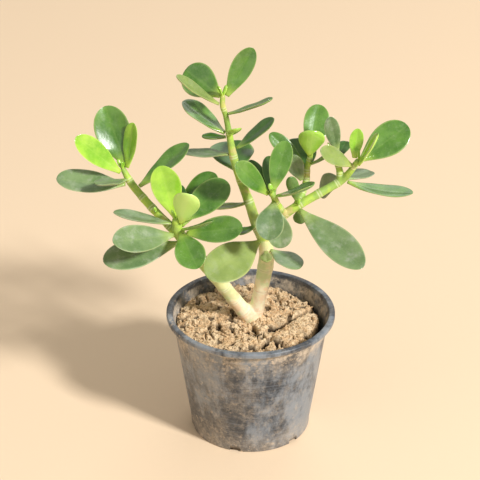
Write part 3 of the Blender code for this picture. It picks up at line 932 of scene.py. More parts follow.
@dataclass
class Stem:
    """The branching stem, with a low ridge where each pair of leaves once grew. Sizes are in millimetres."""

    sides: int = 18
    step: float = 0.8
    ridge: float = 0.38
    groove: float = 0.18
    ridge_width: float = 0.75
    scarless_tip: float = 3.0
    tip_rings: tuple[tuple[float, float], ...] = ((0.5, 0.84), (0.85, 0.45))
    lump: float = 0.03
    lumps_per_mm: float = 0.12
    voxel: float = 0.55 * MM
    smoothing: int = 3
    blend: float = 0.7 * MM
    vertices_at_once: int = 4000
    finish: StemFinish = field(default_factory=StemFinish)

    def build(self) -> None:
        """Builds the stem as one skin over all its members."""
        shell = Shell()
        samples: list[tuple[Vector, float, float]] = []
        for number, member in enumerate(STEM_MEMBERS):
            self.add_member(member, number, shell, samples)
        piece = shell.make("stem_skin_body", self.finish.make())
        remesh = piece.modifiers.new("one skin", "REMESH")
        remesh.mode = "VOXEL"
        remesh.voxel_size = self.voxel
        remesh.use_smooth_shade = True
        smooth = piece.modifiers.new("soften", "SMOOTH")
        smooth.factor = 0.5
        smooth.iterations = self.smoothing
        settle(piece)
        self.mark(piece, samples)
        hand_over(piece, ["stem"])

    def along(self, member: Member) -> list[Vector]:
        """Evenly close points of a member's rounded line, each with its radius, in millimetres.

        Args:
            member: The member.

        Returns:
            The points from its root to its tip.
        """
        knots = [Vector(knot) for knot in member.run]
        knots = [2 * knots[0] - knots[1], *knots, 2 * knots[-1] - knots[-2]]
        line = []
        for before, start, end, after in zip(knots, knots[1:], knots[2:], knots[3:]):
            count = max(2, round((end - start).to_3d().length / self.step))
            for step in range(count):
                t = step / count
                line.append(
                    0.5
                    * (
                        2 * start
                        + (end - before) * t
                        + (2 * before - 5 * start + 4 * end - after) * t * t
                        + (3 * start - before - 3 * end + after) * t**3
                    )
                )
        line.append(knots[-2])
        return line

    def scar_places(self, member: Member, total: float, chance: random.Random) -> list[float]:
        """How far along a member each pair of leaves once grew.

        Args:
            member: The member.
            total: Its length.
            chance: Its own random numbers.

        Returns:
            The distances from its root.
        """
        scars = []
        following = member.scars * 0.6
        while member.scars and following < total - self.scarless_tip:
            scars.append(following)
            following += member.scars * chance.uniform(0.7, 1.25)
        return scars

    def add_member(self, member: Member, number: int, shell: Shell, samples: list) -> None:
        """Adds one member's tube to the shell.

        Args:
            member: The member.
            number: Its place in the order, which seeds its scars.
            shell: The stem's surface, added to.
            samples: (place, youth, scar) along the middle, added to.
        """
        line = self.along(member)
        total = sum((b - a).to_3d().length for a, b in zip(line, line[1:]))
        scars = self.scar_places(member, total, random.Random(50 + number))
        side = Vector((1.0, 0.0, 0.0))
        walked = 0.0
        for index, knot in enumerate(line):
            middle = knot.to_3d()
            ahead = line[min(index + 1, len(line) - 1)].to_3d()
            behind = line[max(index - 1, 0)].to_3d()
            way = (ahead - behind).normalized()
            side = (side - way * side.dot(way)).normalized()
            other = way.cross(side)
            near = min((abs(walked - scar) for scar in scars), default=total)
            mark = math.exp(-((near / self.ridge_width) ** 2))
            swell = math.exp(-((near / (2.2 * self.ridge_width)) ** 2))
            radius = knot[3] + self.ridge * swell - self.groove * mark
            ring = []
            for x, y in circle(self.sides):
                uneven = noise.noise(middle * self.lumps_per_mm + Vector((x, y, number)))
                ring.append((middle + (side * x + other * y) * radius * (1 + self.lump * uneven)) * MM)
            shell.ring(ring)
            youth = member.young[0] + (member.young[1] - member.young[0]) * walked / total
            samples.append((middle * MM, youth, mark))
            if index + 1 < len(line):
                walked += (line[index + 1] - knot).to_3d().length
        tip, radius = line[-1].to_3d(), line[-1][3]
        way = (line[-1] - line[-2]).to_3d().normalized()
        for lift, shrink in self.tip_rings:
            middle = tip + way * radius * lift
            spots = [middle + (side * x + other * y) * radius * shrink for x, y in circle(self.sides)]
            shell.ring(spot * MM for spot in spots)
        shell.close()

    def mark(self, piece: bpy.types.Object, samples: list) -> None:
        """Stores how young and how scarred the skin is at each vertex.

        Args:
            piece: The stem.
            samples: (place, youth, scar) along the members' middles.
        """
        places = np.array([tuple(sample[0]) for sample in samples], np.float32)
        values = np.array([sample[1:] for sample in samples], np.float32)
        count = len(piece.data.vertices)
        verts = np.empty(count * 3, np.float32)
        piece.data.vertices.foreach_get("co", verts)
        verts = verts.reshape(-1, 3)
        marks = np.zeros((count, 3), np.float32)
        for low in range(0, count, 4000):
            block = verts[low : low + 4000]
            gaps = ((block[:, None, :] - places[None, :, :]) ** 2).sum(axis=2)
            weights = np.exp(-(gaps - gaps.min(axis=1, keepdims=True)) / self.blend**2)
            weights /= weights.sum(axis=1, keepdims=True)
            marks[low : low + 4000, :2] = weights @ values
        layer = piece.data.attributes.new("stem_map", "FLOAT_VECTOR", "POINT")
        layer.data.foreach_set("vector", marks.ravel())


# ---------------------------------------------------------------- soil


SOIL_PATCHES = Blotch(scale=150.0, low=0.42, high=0.58, detail=6.0, rough=0.65)
SOIL_CLUMPS = Blotch(scale=330.0, low=0.50, high=0.40, strength=0.55, detail=5.0, rough=0.70, shift=0.6)
SOIL_SPECKS = Blotch(scale=1300.0, low=0.56, high=0.70, strength=0.55, detail=3.0, rough=0.70)
# Fine near-black specks laid at random.
SOIL_DARK_SPECKS = Blotch(scale=700.0, low=0.46, high=0.36, strength=0.60, rough=0.70)


@dataclass(frozen=True)
class SoilFinish:
    """Dry crumbly earth, with painted shade in its cracks, pits and clod gaps and down the sides of the root
    ball.
    """

    name: str = "dry_earth"
    pale: Colour = (0.96, 0.73, 0.46)
    tan: Colour = (0.82, 0.56, 0.31)
    grit: Colour = (0.98, 0.86, 0.64)
    damp: Colour = (0.380, 0.230, 0.115)
    # Near black: painted shade in cracks, pits, clod gaps and down the root ball's sides, and also the colour
    # of the random dark specks.
    crack_shade_and_specks: Colour = (0.026, 0.014, 0.008)

    def make(self) -> bpy.types.Material:
        """Builds the earth."""
        board = NodeBoard(self.name)
        colour = board.lay(
            self.tan,
            (board.blotch(SOIL_PATCHES), self.pale),
            (board.blotch(SOIL_CLUMPS), self.damp),
            (board.blotch(SOIL_SPECKS), self.grit),
            (board.blotch(SOIL_DARK_SPECKS), self.crack_shade_and_specks),
            # Painted shade: near black as far as the bed marks a crack, pit, clod gap or the root ball's
            # side.
            (board.part_of("soil_map")[0], self.crack_shade_and_specks),
        )
        board.bump(board.noise(1000.0, 6.0, 0.7), 1.0, 1.1 * MM)
        return board.finish(Base_Color=colour, Roughness=0.95, Specular_IOR_Level=0.15)


@dataclass(frozen=True)
class Grit:
    """One size of loose earth to strew: how many, how large, and how round each is."""

    name: str
    count: int
    smallest: float
    largest: float
    subdivisions: int
    bias: float
    seed: int


GRITS = (
    Grit("soil_crumbs", 3000, 0.25 * MM, 1.5 * MM, 1, 2.8, 7),
    Grit("soil_clods", 110, 1.0 * MM, 3.4 * MM, 3, 2.0, 21),
)

CRACKS = (
    ((-14.0, -41.0), (-3.0, -37.0), (5.0, -30.5), (13.0, -25.0), (20.0, -29.0), (26.0, -35.0)),
    ((12.0, -14.0), (19.0, -6.0), (25.0, 1.5), (33.0, 8.5), (40.0, 12.0), (47.0, 16.0)),
)


@dataclass(frozen=True)
class Rootlet:
    """A fine dry root on the earth, in millimetres and degrees."""

    x: float
    y: float
    heading: float
    length: float
    bend: float
    radius: float


ROOTLETS = (
    Rootlet(x=-3.0, y=-8.5, heading=-52.0, length=11.0, bend=30.0, radius=0.42),
    Rootlet(x=9.0, y=-18.0, heading=15.0, length=9.0, bend=-50.0, radius=0.26),
    Rootlet(x=-22.0, y=-12.0, heading=200.0, length=12.0, bend=60.0, radius=0.24),
    Rootlet(x=20.0, y=14.0, heading=70.0, length=10.0, bend=-40.0, radius=0.26),
    Rootlet(x=-8.0, y=28.0, heading=160.0, length=12.0, bend=45.0, radius=0.28),
)


def ripple(spot: Vector, scale: float, shift: Sequence[float] = (0, 0, 0)) -> float:
    """Smooth noise at a place, from about -1 to 1."""
    return noise.noise(spot * scale + Vector(shift))


def wander(spot: Vector, scale: float, shift: Sequence[float], reach: float) -> Vector:
    """A smooth push sideways at a place, of about a reach at most."""
    return Vector((ripple(spot, scale), ripple(spot, scale, shift), 0.0)) * reach


def within(value: float) -> float:
    """A value held between 0 and 1."""
    return max(0.0, min(1.0, value))


@dataclass
class SoilBed:
    """The soil's cracked surface with loose crumbs and clods on it."""

    around: int = 300
    rings: int = 110
    wall_heights: tuple[float, ...] = (40 * MM, 60 * MM, 70 * MM)
    wall_gap: float = 0.15 * MM
    wall_rough: float = 0.5 * MM
    skin_drop: float = 0.8 * MM
    shoulder: float = 1.5 * MM
    shoulder_rings: int = 5
    clod_scale: float = 105.0
    clod_height: float = 2.5 * MM
    grain_height: float = 0.75 * MM
    pit_depth: float = 1.6 * MM
    crack_width: float = 2.8 * MM
    crack_depth: float = 5.5 * MM
    slab_middle: tuple[float, float] = (32.0 * MM, -11.0 * MM)
    slab_turn: float = 49.0
    slab_size: tuple[float, float] = (23.0 * MM, 10.0 * MM)
    slab_height: float = 2.3 * MM
    lean: float = 2.2 * MM
    lean_reach: float = 45 * MM
    trunk_foot: tuple[float, float] = (1.0 * MM, 5.5 * MM)
    trunk_reach: float = 11.0 * MM
    trunk_heap: float = 0.9 * MM
    strewn_radius: float = 48 * MM
    crumb_upright: float = 0.45
    crumb_lowest: float = 70 * MM
    crumb_depth: float = 0.35
    crumb_spin: float = 6.28
    rootlet_steps: int = 16
    rootlet_sides: int = 8
    finish: SoilFinish = field(default_factory=SoilFinish)

    def build(self, node: bpy.types.Object) -> None:
        """Builds the bed and its crumbs.

        Args:
            node: The packed soil.
        """
        material = self.finish.make()
        bed = self.build_bed(node, material)
        loose = [self.scatter(bed, material, grit) for grit in GRITS]
        self.lay_rootlets(bed)
        hand_over(bed, ["soil"])
        for piece in loose:
            hand_over(piece, [])

    def crack_at(self, x: float, y: float) -> float:
        """How far into one of the long cracks a place lies, from 0 to 1.

        Args:
            x: Place in metres.
            y: Place in metres.

        Returns:
            The depth's share.
        """
        spot = Vector((x, y))
        nearest = 1.0
        for line in CRACKS:
            for start, end in zip(line, line[1:]):
                first, second = Vector(start) * MM, Vector(end) * MM
                along = second - first
                share = max(0.0, min(1.0, (spot - first).dot(along) / along.length_squared))
                nearest = min(nearest, (spot - first - along * share).length)
        return max(0.0, 1.0 - nearest / self.crack_width)

    def slab_at(self, x: float, y: float) -> float:
        """How far onto the lifted slab at the right a place lies, from 0 to 1.

        Args:
            x: Place in metres.
            y: Place in metres.

        Returns:
            The slab's share.
        """
        turn = math.radians(self.slab_turn)
        gap = Vector((x - self.slab_middle[0], y - self.slab_middle[1]))
        along = gap.x * math.cos(turn) + gap.y * math.sin(turn)
        aside = gap.y * math.cos(turn) - gap.x * math.sin(turn)
        reach = math.hypot(along / self.slab_size[0], aside / self.slab_size[1])
        return max(0.0, min(1.0, (1.0 - reach) / 0.12))

    def relief(self, x: float, y: float) -> tuple[float, float]:
        """The lumps and cracks at a place.

        Args:
            x: Place in metres.
            y: Place in metres.

        Returns:
            The height over the plain surface, and how deep in a crack, pit or gap between clods it is from 0
            to 1, which the earth paints as shade.
        """
        spot = Vector((x, y, 0.0))
        warp = wander(spot, 60, (7, 3, 1), 0.006) + wander(spot, 300, (4, 8, 2), 0.0012)
        cells = noise.voronoi((spot + warp) * self.clod_scale)[0]
        gap = max(0.0, 1.0 - (cells[1] - cells[0]) / 0.15)
        gap *= 0.25 + 0.75 * within(0.5 + 1.8 * ripple(spot, 45, (2, 9, 4)))
        long_crack = self.crack_at(x + warp.x * 0.5, y + warp.y * 0.5)
        slab = self.slab_at(x + warp.x * 0.6, y + warp.y * 0.6)
        big = noise.fractal(spot * 60, 0.8, 2.1, 6)
        grain = noise.fractal(spot * 520, 0.6, 2.1, 4)
        pits = within(6.0 * (ripple(spot, 210, (5, 5, 5)) - 0.17)) * (1 - 0.7 * slab)
        height = self.clod_height * (0.6 * big * (1 - 0.5 * slab) + 0.5 * (1 - gap) - 1.3 * gap * gap)
        height += self.grain_height * grain - self.pit_depth * pits
        height += self.slab_height * slab - self.crack_depth * long_crack**0.6
        height += self.lean * within((0.6 * y - 0.8 * x) / self.lean_reach)
        # Painted shade: the second number darkens gaps between clods, pits and cracks.
        return height, min(1.0, gap * gap + 0.8 * pits + 1.6 * long_crack)

    def level_at(self, tree: BVHTree, x: float, y: float, lowest: float) -> float:
        """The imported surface's height at a place, carried level across the trunk's socket.

        Args:
            tree: The packed soil.
            x: Place in metres.
            y: Place in metres.
            lowest: The height to use where nothing lies below.

        Returns:
            The height in metres.
        """
        gap = Vector((x - self.trunk_foot[0], y - self.trunk_foot[1]))
        heap = 0.0
        if gap.length < self.trunk_reach:
            heap = self.trunk_heap * (1 - gap.length / self.trunk_reach)
            gap = gap.normalized() * self.trunk_reach if gap.length else Vector((self.trunk_reach, 0.0))
        hit = self.drop(tree, self.trunk_foot[0] + gap.x, self.trunk_foot[1] + gap.y)
        return (hit.z if hit else lowest) + heap

    def drop(self, tree: BVHTree, x: float, y: float) -> Vector | None:
        """Where a line straight down from above the pot first meets a surface."""
        return tree.ray_cast(Vector((x, y, 200 * MM)), Vector((0, 0, -1)))[0]

    def lay_rootlets(self, bed: bpy.types.Object) -> None:
        """Lays a few fine dry roots on the earth.

        Args:
            bed: The soil's surface.
        """
        tool = merged_copy(bed)
        tree = BVHTree.FromBMesh(tool)
        tool.free()
        board = NodeBoard("dry_rootlet")
        colour = board.mix(board.noise(400.0), (0.80, 0.66, 0.42), (0.52, 0.36, 0.20))
        material = board.finish(Base_Color=colour, Roughness=0.8)
        for number, rootlet in enumerate(ROOTLETS):
            piece = self.sweep_rootlet(tree, rootlet, number).make(f"rootlet_{number + 1}", material)
            outward(piece)
            hand_over(piece, [])

    def sweep_rootlet(self, tree: BVHTree, rootlet: Rootlet, number: int) -> Shell:
        """Sweeps one root over the earth. Every second one arches off it.

        Args:
            tree: The soil's surface.
            rootlet: The root.
            number: Its place in the order.

        Returns:
            Its surface.
        """
        shell = Shell()
        heading = math.radians(rootlet.heading)
        spot = Vector((rootlet.x, rootlet.y, 0.0)) * MM
        for step in range(self.rootlet_steps + 1):
            share = step / self.rootlet_steps
            hit = self.drop(tree, spot.x, spot.y)
            lift = 0.5 * MM + 1.2 * MM * math.sin(math.pi * share) * (number % 2)
            middle = Vector((spot.x, spot.y, (hit.z if hit else 80 * MM) + lift))
            if shell.points:
                middle.z = 0.6 * shell.points[-1].z + 0.4 * middle.z
            size = rootlet.radius * MM * (1 - 0.7 * share)
            way = Vector((math.cos(heading), math.sin(heading), 0.0))
            aside = Vector((-way.y, way.x, 0.0))
            shell.ring(middle + (aside * a + Vector((0, 0, b))) * size for a, b in circle(self.rootlet_sides))
            spot += way * rootlet.length * MM / self.rootlet_steps
            heading += math.radians(rootlet.bend) / self.rootlet_steps * (1 + math.sin(7 * share + number))
        return shell

    def build_bed(self, node: bpy.types.Object, material: bpy.types.Material) -> bpy.types.Object:
        """Builds the closed lump of soil with its fine surface.

        Args:
            node: The packed soil.
            material: The earth.

        Returns:
            The bed.
        """
        tool = merged_copy(node)
        tree = BVHTree.FromBMesh(tool)
        tool.free()
        low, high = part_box(node.name)
        top = high[2] - 2.2 * MM
        shell = Shell()
        shell.ring([Vector((0.0, 0.0, low[2]))])
        depths = [0.0]
        edge: list[float] = []
        feet = (low[2] + 0.5 * MM, low[2] + 6 * MM)
        for height in (*feet, *self.wall_heights, top - 4 * MM, top - 2 * MM):
            edge = [self.reach_at(tree, x, y, height) for x, y in circle(self.around)]
            spots = [(x * reach, y * reach) for (x, y), reach in zip(circle(self.around), edge)]
            shell.ring(Vector((x, y, height)) for x, y in spots)
            # Painted shade: the root ball's sides darken further below the top.
            depths += [within((top - height) / (6 * MM))] * self.around
        for inset in range(self.rings):
            share = 1 - inset / self.rings
            shoulder = self.shoulder * max(0.0, 1 - inset / self.shoulder_rings)
            ring = []
            for (cosine, sine), reach in zip(circle(self.around), edge):
                x = cosine * reach * share
                y = sine * reach * share
                level = self.level_at(tree, x, y, top)
                height, depth = self.relief(x, y)
                ring.append(Vector((x, y, level + height - self.skin_drop - shoulder)))
                depths.append(depth)
            shell.ring(ring)
        shell.ring([Vector((0.0, 0.0, top))])
        depths.append(0.0)
        bed = shell.make("soil_bed", material)
        outward(bed)
        self.store(bed, depths)
        return bed

    def reach_at(self, tree: BVHTree, x: float, y: float, height: float) -> float:
        """How far the root ball's rough wall lies from the middle, along a unit heading (x, y).

        Args:
            tree: The packed soil.
            x: Heading.
            y: Heading.
            height: The height of the place.

        Returns:
            The distance in metres.
        """
        way = Vector((x, y, 0.0))
        hit = tree.ray_cast(way * 0.08 + Vector((0, 0, height)), -way)[0]
        rough = noise.fractal(Vector((x, y, height * 60)) * 3.0, 0.8, 2.0, 4)
        return (hit.xy.length if hit else 40 * MM) - self.wall_gap + self.wall_rough * min(0.0, rough)

    def store(self, piece: bpy.types.Object, depths: Sequence[float]) -> None:
        """Stores how deep in a crack each vertex lies, which the earth paints as shade.

        Args:
            piece: The piece.
            depths: One number for each vertex.
        """
        marks = np.zeros((len(depths), 3), np.float32)
        marks[:, 0] = depths
        layer = piece.data.attributes.new("soil_map", "FLOAT_VECTOR", "POINT")
        layer.data.foreach_set("vector", marks.ravel())

    def scatter(self, bed: bpy.types.Object, material: bpy.types.Material, grit: Grit) -> bpy.types.Object:
        """Strews loose earth over the bed with a node tree.

        Args:
            bed: The soil's surface.
            material: The earth.
            grit: The size to strew.

        Returns:
            The loose earth as one plain mesh.
        """
        crumb = self.make_crumb(material, grit.subdivisions)
        tree = bpy.data.node_groups.new("crumb_scatter", "GeometryNodeTree")
        tree.interface.new_socket("Geometry", in_out="INPUT", socket_type="NodeSocketGeometry")
        sizes = {
            "Crumbs per square metre": grit.count / (math.pi * self.strewn_radius**2),
            "Smallest": grit.smallest,
            "Largest": grit.largest,
        }
        keys = {}
        for name in sizes:
            socket = tree.interface.new_socket(name, in_out="INPUT", socket_type="NodeSocketFloat")
            keys[name] = socket.identifier
        tree.interface.new_socket("Geometry", in_out="OUTPUT", socket_type="NodeSocketGeometry")
        self.lay_out_scatter(Board(tree), crumb, material, grit)
        carrier = bpy.data.objects.new("crumb_carrier", bed.data)
        bpy.context.scene.collection.objects.link(carrier)
        strew = carrier.modifiers.new("strew", "NODES")
        strew.node_group = tree
        for name, size in sizes.items():
            strew[keys[name]] = size
        graph = bpy.context.evaluated_depsgraph_get()
        mesh = bpy.data.meshes.new_from_object(carrier.evaluated_get(graph))
        bpy.data.objects.remove(carrier)
        bpy.data.objects.remove(crumb)
        crumbs = bpy.data.objects.new(grit.name, mesh)
        mesh.name = grit.name
        bpy.context.scene.collection.objects.link(crumbs)
        if "soil_map" in mesh.attributes:
            mesh.attributes.remove(mesh.attributes["soil_map"])
        self.store(crumbs, [0.0] * len(mesh.vertices))
        return crumbs

    def lay_out_scatter(
        self, board: Board, crumb: bpy.types.Object, material: bpy.types.Material, grit: Grit
    ) -> None:
        """Lays out the tree: crumbs on the upper surface, out of the cracks, small ones more often.

        Args:
            board: The tree's board.
            crumb: The crumb to strew.
            material: The earth.
            grit: The size to strew.
        """
        sources = board.add("NodeGroupInput").outputs
        ground, density, small, large = (Signal(board, sources[index]) for index in range(4))
        facing = board.axes(board.value("GeometryNodeInputNormal"))[2]
        height = board.axes(board.value("GeometryNodeInputPosition"))[2]
        named = {"Name": "soil_map"}
        stored = board.value("GeometryNodeInputNamedAttribute", named, data_type="FLOAT_VECTOR")
        tests = (
            ("GREATER_THAN", facing, self.crumb_upright),
            ("GREATER_THAN", height, self.crumb_lowest),
            ("LESS_THAN", board.axes(stored)[0], self.crumb_depth),
        )
        chosen: object = True
        for operation, level, limit in tests:
            passed = board.value("FunctionNodeCompare", {0: level, 1: limit}, operation=operation)
            chosen = board.value("FunctionNodeBooleanMath", {0: chosen, 1: passed})
        spread = {"Mesh": ground, "Density": density, "Selection": chosen, "Seed": grit.seed}
        spots = board.value("GeometryNodeDistributePointsOnFaces", spread, output="Points")
        dice = board.value("FunctionNodeRandomValue", {"Seed": grit.seed + 1}, output=1)
        share = board.math("POWER", dice, grit.bias)
        size = board.value("ShaderNodeMapRange", {0: share, 3: small, 4: large})
        spin = {1: (self.crumb_spin,) * 3, "Seed": grit.seed + 2}
        turn = board.value("FunctionNodeRandomValue", spin, data_type="FLOAT_VECTOR")
        shape = board.value("GeometryNodeObjectInfo", {"Object": crumb}, output="Geometry")
        put = {"Points": spots, "Instance": shape, "Rotation": turn, "Scale": size}
        placed = board.value("GeometryNodeInstanceOnPoints", put)
        real = board.value("GeometryNodeRealizeInstances", {0: placed})
        dressed = board.value("GeometryNodeSetMaterial", {"Geometry": real, "Material": material})
        board.add("NodeGroupOutput", {0: dressed})

    def make_crumb(self, material: bpy.types.Material, subdivisions: int) -> bpy.types.Object:
        """One lumpy crumb of unit radius for the scatter.

        Args:
            material: The earth.
            subdivisions: How round it is.

        Returns:
            The crumb.
        """
        tool = bmesh.new()
        bmesh.ops.create_icosphere(tool, subdivisions=subdivisions, radius=1.0)
        for vert in tool.verts:
            lump = 0.75 + 0.5 * ripple(vert.co, 1.3, (3, 1, 8)) + 0.35 * ripple(vert.co, 4)
            vert.co = Vector((vert.co.x * lump, vert.co.y * lump * 0.85, vert.co.z * lump * 0.7))
        mesh = bpy.data.meshes.new("crumb")
        tool.to_mesh(mesh)
        tool.free()
        mesh.materials.append(material)
        crumb = bpy.data.objects.new("crumb", mesh)
        bpy.context.scene.collection.objects.link(crumb)
        return crumb


# ---------------------------------------------------------------- pot


POT_SCUFFS = Blotch(scale=70.0, low=0.50, high=0.66, strength=0.55, detail=5.0, rough=0.65, squash=12.0)
POT_CLOUDS = Blotch(scale=38.0, low=0.44, high=0.60, strength=0.70, detail=9.0, rough=0.72, squash=0.5)
POT_FINE = Blotch(scale=420.0, low=0.40, high=0.62, strength=0.55, detail=8.0, rough=0.80)
POT_WIDE = Blotch(scale=30.0, low=0.47, high=0.62, strength=0.26, detail=8.0, rough=0.72, shift=0.17)
POT_SMEARS = Blotch(scale=150.0, low=0.50, high=0.62, strength=0.26, detail=9.0, rough=0.75)
POT_PATCHY = Blotch(scale=85.0, low=0.42, high=0.56, strength=0.95, detail=9.0, rough=0.75, shift=0.4)
POT_FLAKES = Blotch(scale=260.0, low=0.56, high=0.66, detail=6.0, rough=0.70)


@dataclass(frozen=True)
class PotFinish:
    """Old black plastic under chalk, dried mud and dust."""

    plastic: Colour = (0.032, 0.040, 0.052)
    worn: Colour = (0.135, 0.155, 0.185)
    chalk: Colour = (0.290, 0.325, 0.365)
    dust: Colour = (0.560, 0.470, 0.360)
    mud: Colour = (0.660, 0.520, 0.370)
    under_lip: tuple[float, float] = (60.0 * MM, 81.5 * MM)
    lip_shade: tuple[float, float] = (85.0 * MM, 83.5 * MM)
    lip_band: tuple[float, float] = (83.2 * MM, 84.2 * MM)
    foot_band: tuple[float, float] = (20.0 * MM, 2.0 * MM)
    left_side: tuple[float, float] = (12.0 * MM, -45.0 * MM)

    def make(self) -> bpy.types.Material:
        """Builds the plastic: scuffs, chalky clouds, then tan dust that gathers high, low and at the left."""
        board = NodeBoard("dusty_plastic")
        x, _, z = board.axes(board.place())
        high = board.step(z, *self.under_lip) * board.step(z, *self.lip_shade)
        low = board.step(z, *self.foot_band)
        left = board.step(x, *self.left_side)
        film = board.blotch(POT_WIDE) + board.blotch(POT_SMEARS) + high * board.blotch(POT_PATCHY)
        film = (film + low * 0.30 + left * 0.18) * (board.blotch(POT_FINE) + 0.45)
        film = board.math("MINIMUM", film, 0.95) * (1.0 - board.step(z, *self.lip_band) * 0.45)
        gather = board.math("MAXIMUM", high, board.math("MAXIMUM", low, left) * 0.55)
        colour = board.lay(
            self.plastic,
            (board.blotch(POT_SCUFFS), self.worn),
            (board.blotch(POT_CLOUDS), self.chalk),
            (film, self.dust),
            (board.blotch(POT_FLAKES) * (gather * 0.75 + 0.12), self.mud),
        )
        board.bump(board.noise(300.0, 5.0, 0.65, squash=12.0) + film * 0.8, 0.22, 0.35 * MM)
        return board.finish(Base_Color=colour, Roughness=film * 0.45 + 0.42, Specular_IOR_Level=0.45)


@dataclass
class Pot:
    """The round nursery pot."""

    around: int = 160
    height: float = 87 * MM
    rim: float = 56 * MM
    lip_drop: float = 3.4 * MM
    opening: float = 52 * MM
    body_top: float = 52.4 * MM
    body_foot: float = 40.4 * MM
    wall: float = 1.4 * MM
    floor_top: float = 3.2 * MM
    recess: float = 1.2 * MM
    ring_inner: float = 34.5 * MM
    pad: float = 15.0 * MM
    ledge_height: float = 75.5 * MM
    ledge_step: float = 0.55 * MM
    holes: int = 6
    hole: float = 4.0 * MM
    hole_ring: float = 25.0 * MM
    hole_turn: float = 0.11
    notch_width: float = 7.0 * MM
    notch_height: float = 2.4 * MM
    cut_depth: float = 12 * MM
    finish: PotFinish = field(default_factory=PotFinish)

    def outer(self, height: float) -> float:
        """The wall's outer radius at a height."""
        top = self.height - self.lip_drop
        return self.body_foot + (self.body_top - self.body_foot) * height / top

    def profile(self) -> list[tuple[float, float]]:
        """The wall's section as (radius, height), with a rounded lip and a few moulded steps."""
        under = self.height - self.lip_drop
        points = [(0.0, 0.0), (self.pad, 0.0), (self.pad + 0.5 * MM, self.recess)]
        points += [(self.ring_inner, self.recess), (self.ring_inner + 0.8 * MM, 0.0)]
        points += self.round_off(self.body_foot - 1.0 * MM, 1.0 * MM, 1.0 * MM, -90, 0, 5)
        for height in np.linspace(under * 0.06, self.ledge_height - 0.8 * MM, 13):
            points.append((self.outer(height) - self.ledge_step, height))
        points.append((self.outer(self.ledge_height) - 0.85 * self.ledge_step, self.ledge_height - 0.3 * MM))
        points.append((self.outer(self.ledge_height) - 0.1 * MM, self.ledge_height + 0.1 * MM))
        points.append((self.outer(self.ledge_height), self.ledge_height + 0.6 * MM))
        points.append((self.outer(under) - 0.1 * MM, under - 0.4 * MM))
        points.append((self.outer(under) + 0.2 * MM, under))
        points.append((self.rim - 0.9 * MM, under - 0.05 * MM))
        points += self.round_off(self.rim - 0.8 * MM, under + 0.7 * MM, 0.8 * MM, -80, 0, 5)
        points += self.round_off(self.rim - 1.0 * MM, self.height - 1.0 * MM, 1.0 * MM, 10, 90, 6)
        points += self.round_off(self.opening + 0.8 * MM, self.height - 0.9 * MM, 0.8 * MM, 95, 180, 6)
        for share in np.linspace(0.95, 0.08, 12):
            points.append((self.outer(under * share) - self.wall, under * share))
        points += [(self.outer(self.floor_top) - self.wall - 1.5 * MM, self.floor_top), (0.0, self.floor_top)]
        return points

    def round_off(self, r: float, z: float, size: float, start: float, end: float, steps: int) -> list:
        """An arc of the section about (r, z), between two angles in degrees.

        Args:
            r: The centre's radius.
            z: The centre's height.
            size: The arc's radius.
            start: Its first angle.
            end: Its last angle.
            steps: Its number of points.

        Returns:
            The points.
        """
        arc = []
        for angle in np.linspace(math.radians(start), math.radians(end), steps):
            arc.append((r + size * math.cos(angle), z + size * math.sin(angle)))
        return arc

    def build(self) -> None:
        """Builds the pot with its drain holes and the gaps in its foot."""
        shell = Shell()
        for radius, height in self.profile():
            if radius == 0.0:
                shell.ring([(0.0, 0.0, height)])
                continue
            ring = []
            for angle in turns(self.around):
                reach = radius * (1 + 0.0012 * math.sin(2 * angle + 1) + 0.0006 * math.sin(5 * angle))
                ring.append((reach * math.cos(angle), reach * math.sin(angle), height))
            shell.ring(ring)
        finish = self.finish.make()
        pot = shell.make("nursery_pot", finish)
        outward(pot)
        cutter = self.make_cutter(finish)
        cut = pot.modifiers.new("drains and foot gaps", "BOOLEAN")
        cut.operation = "DIFFERENCE"
        cut.object = cutter
        settle(pot)
        bpy.data.objects.remove(cutter)
        hand_over(pot, ["pot"])

    def make_cutter(self, material: bpy.types.Material) -> bpy.types.Object:
        """The rods and bars that the drain holes and the gaps in the foot are cut with.

        Args:
            material: A finish for the cut faces.

        Returns:
            The cutter.
        """
        tool = bmesh.new()
        rod = {"segments": 28, "radius1": self.hole, "radius2": self.hole, "depth": self.cut_depth}
        bar = Matrix.Diagonal((self.cut_depth, self.notch_width, 2 * self.notch_height, 1.0))
        foot = (self.ring_inner + self.body_foot) / 2
        for number in range(self.holes):
            drain = self.turned(2 * math.pi * (number + 0.5) / self.holes + self.hole_turn, self.hole_ring)
            bmesh.ops.create_cone(tool, cap_ends=True, matrix=drain, **rod)
            notch = self.turned(2 * math.pi * (number + 0.25) / self.holes, foot)
            bmesh.ops.create_cube(tool, matrix=notch @ bar)
        mesh = bpy.data.meshes.new("pot_cutter")
        tool.to_mesh(mesh)
        tool.free()
        mesh.materials.append(material)
        cutter = bpy.data.objects.new("pot_cutter", mesh)
        bpy.context.scene.collection.objects.link(cutter)
        return cutter

    def turned(self, turn: float, reach: float) -> Matrix:
        """A place at a turn about the pot's axis, facing outward."""
        middle = Vector((math.cos(turn), math.sin(turn), 0.0)) * reach
        return Matrix.Translation(middle) @ Matrix.Rotation(turn, 4, "Z")


# ---------------------------------------------------------------- studio


@dataclass(frozen=True)
class Lamp:
    """A square lamp that faces the plant, in metres and watts."""

    name: str
    place: tuple[float, float, float]
    size: float
    power: float


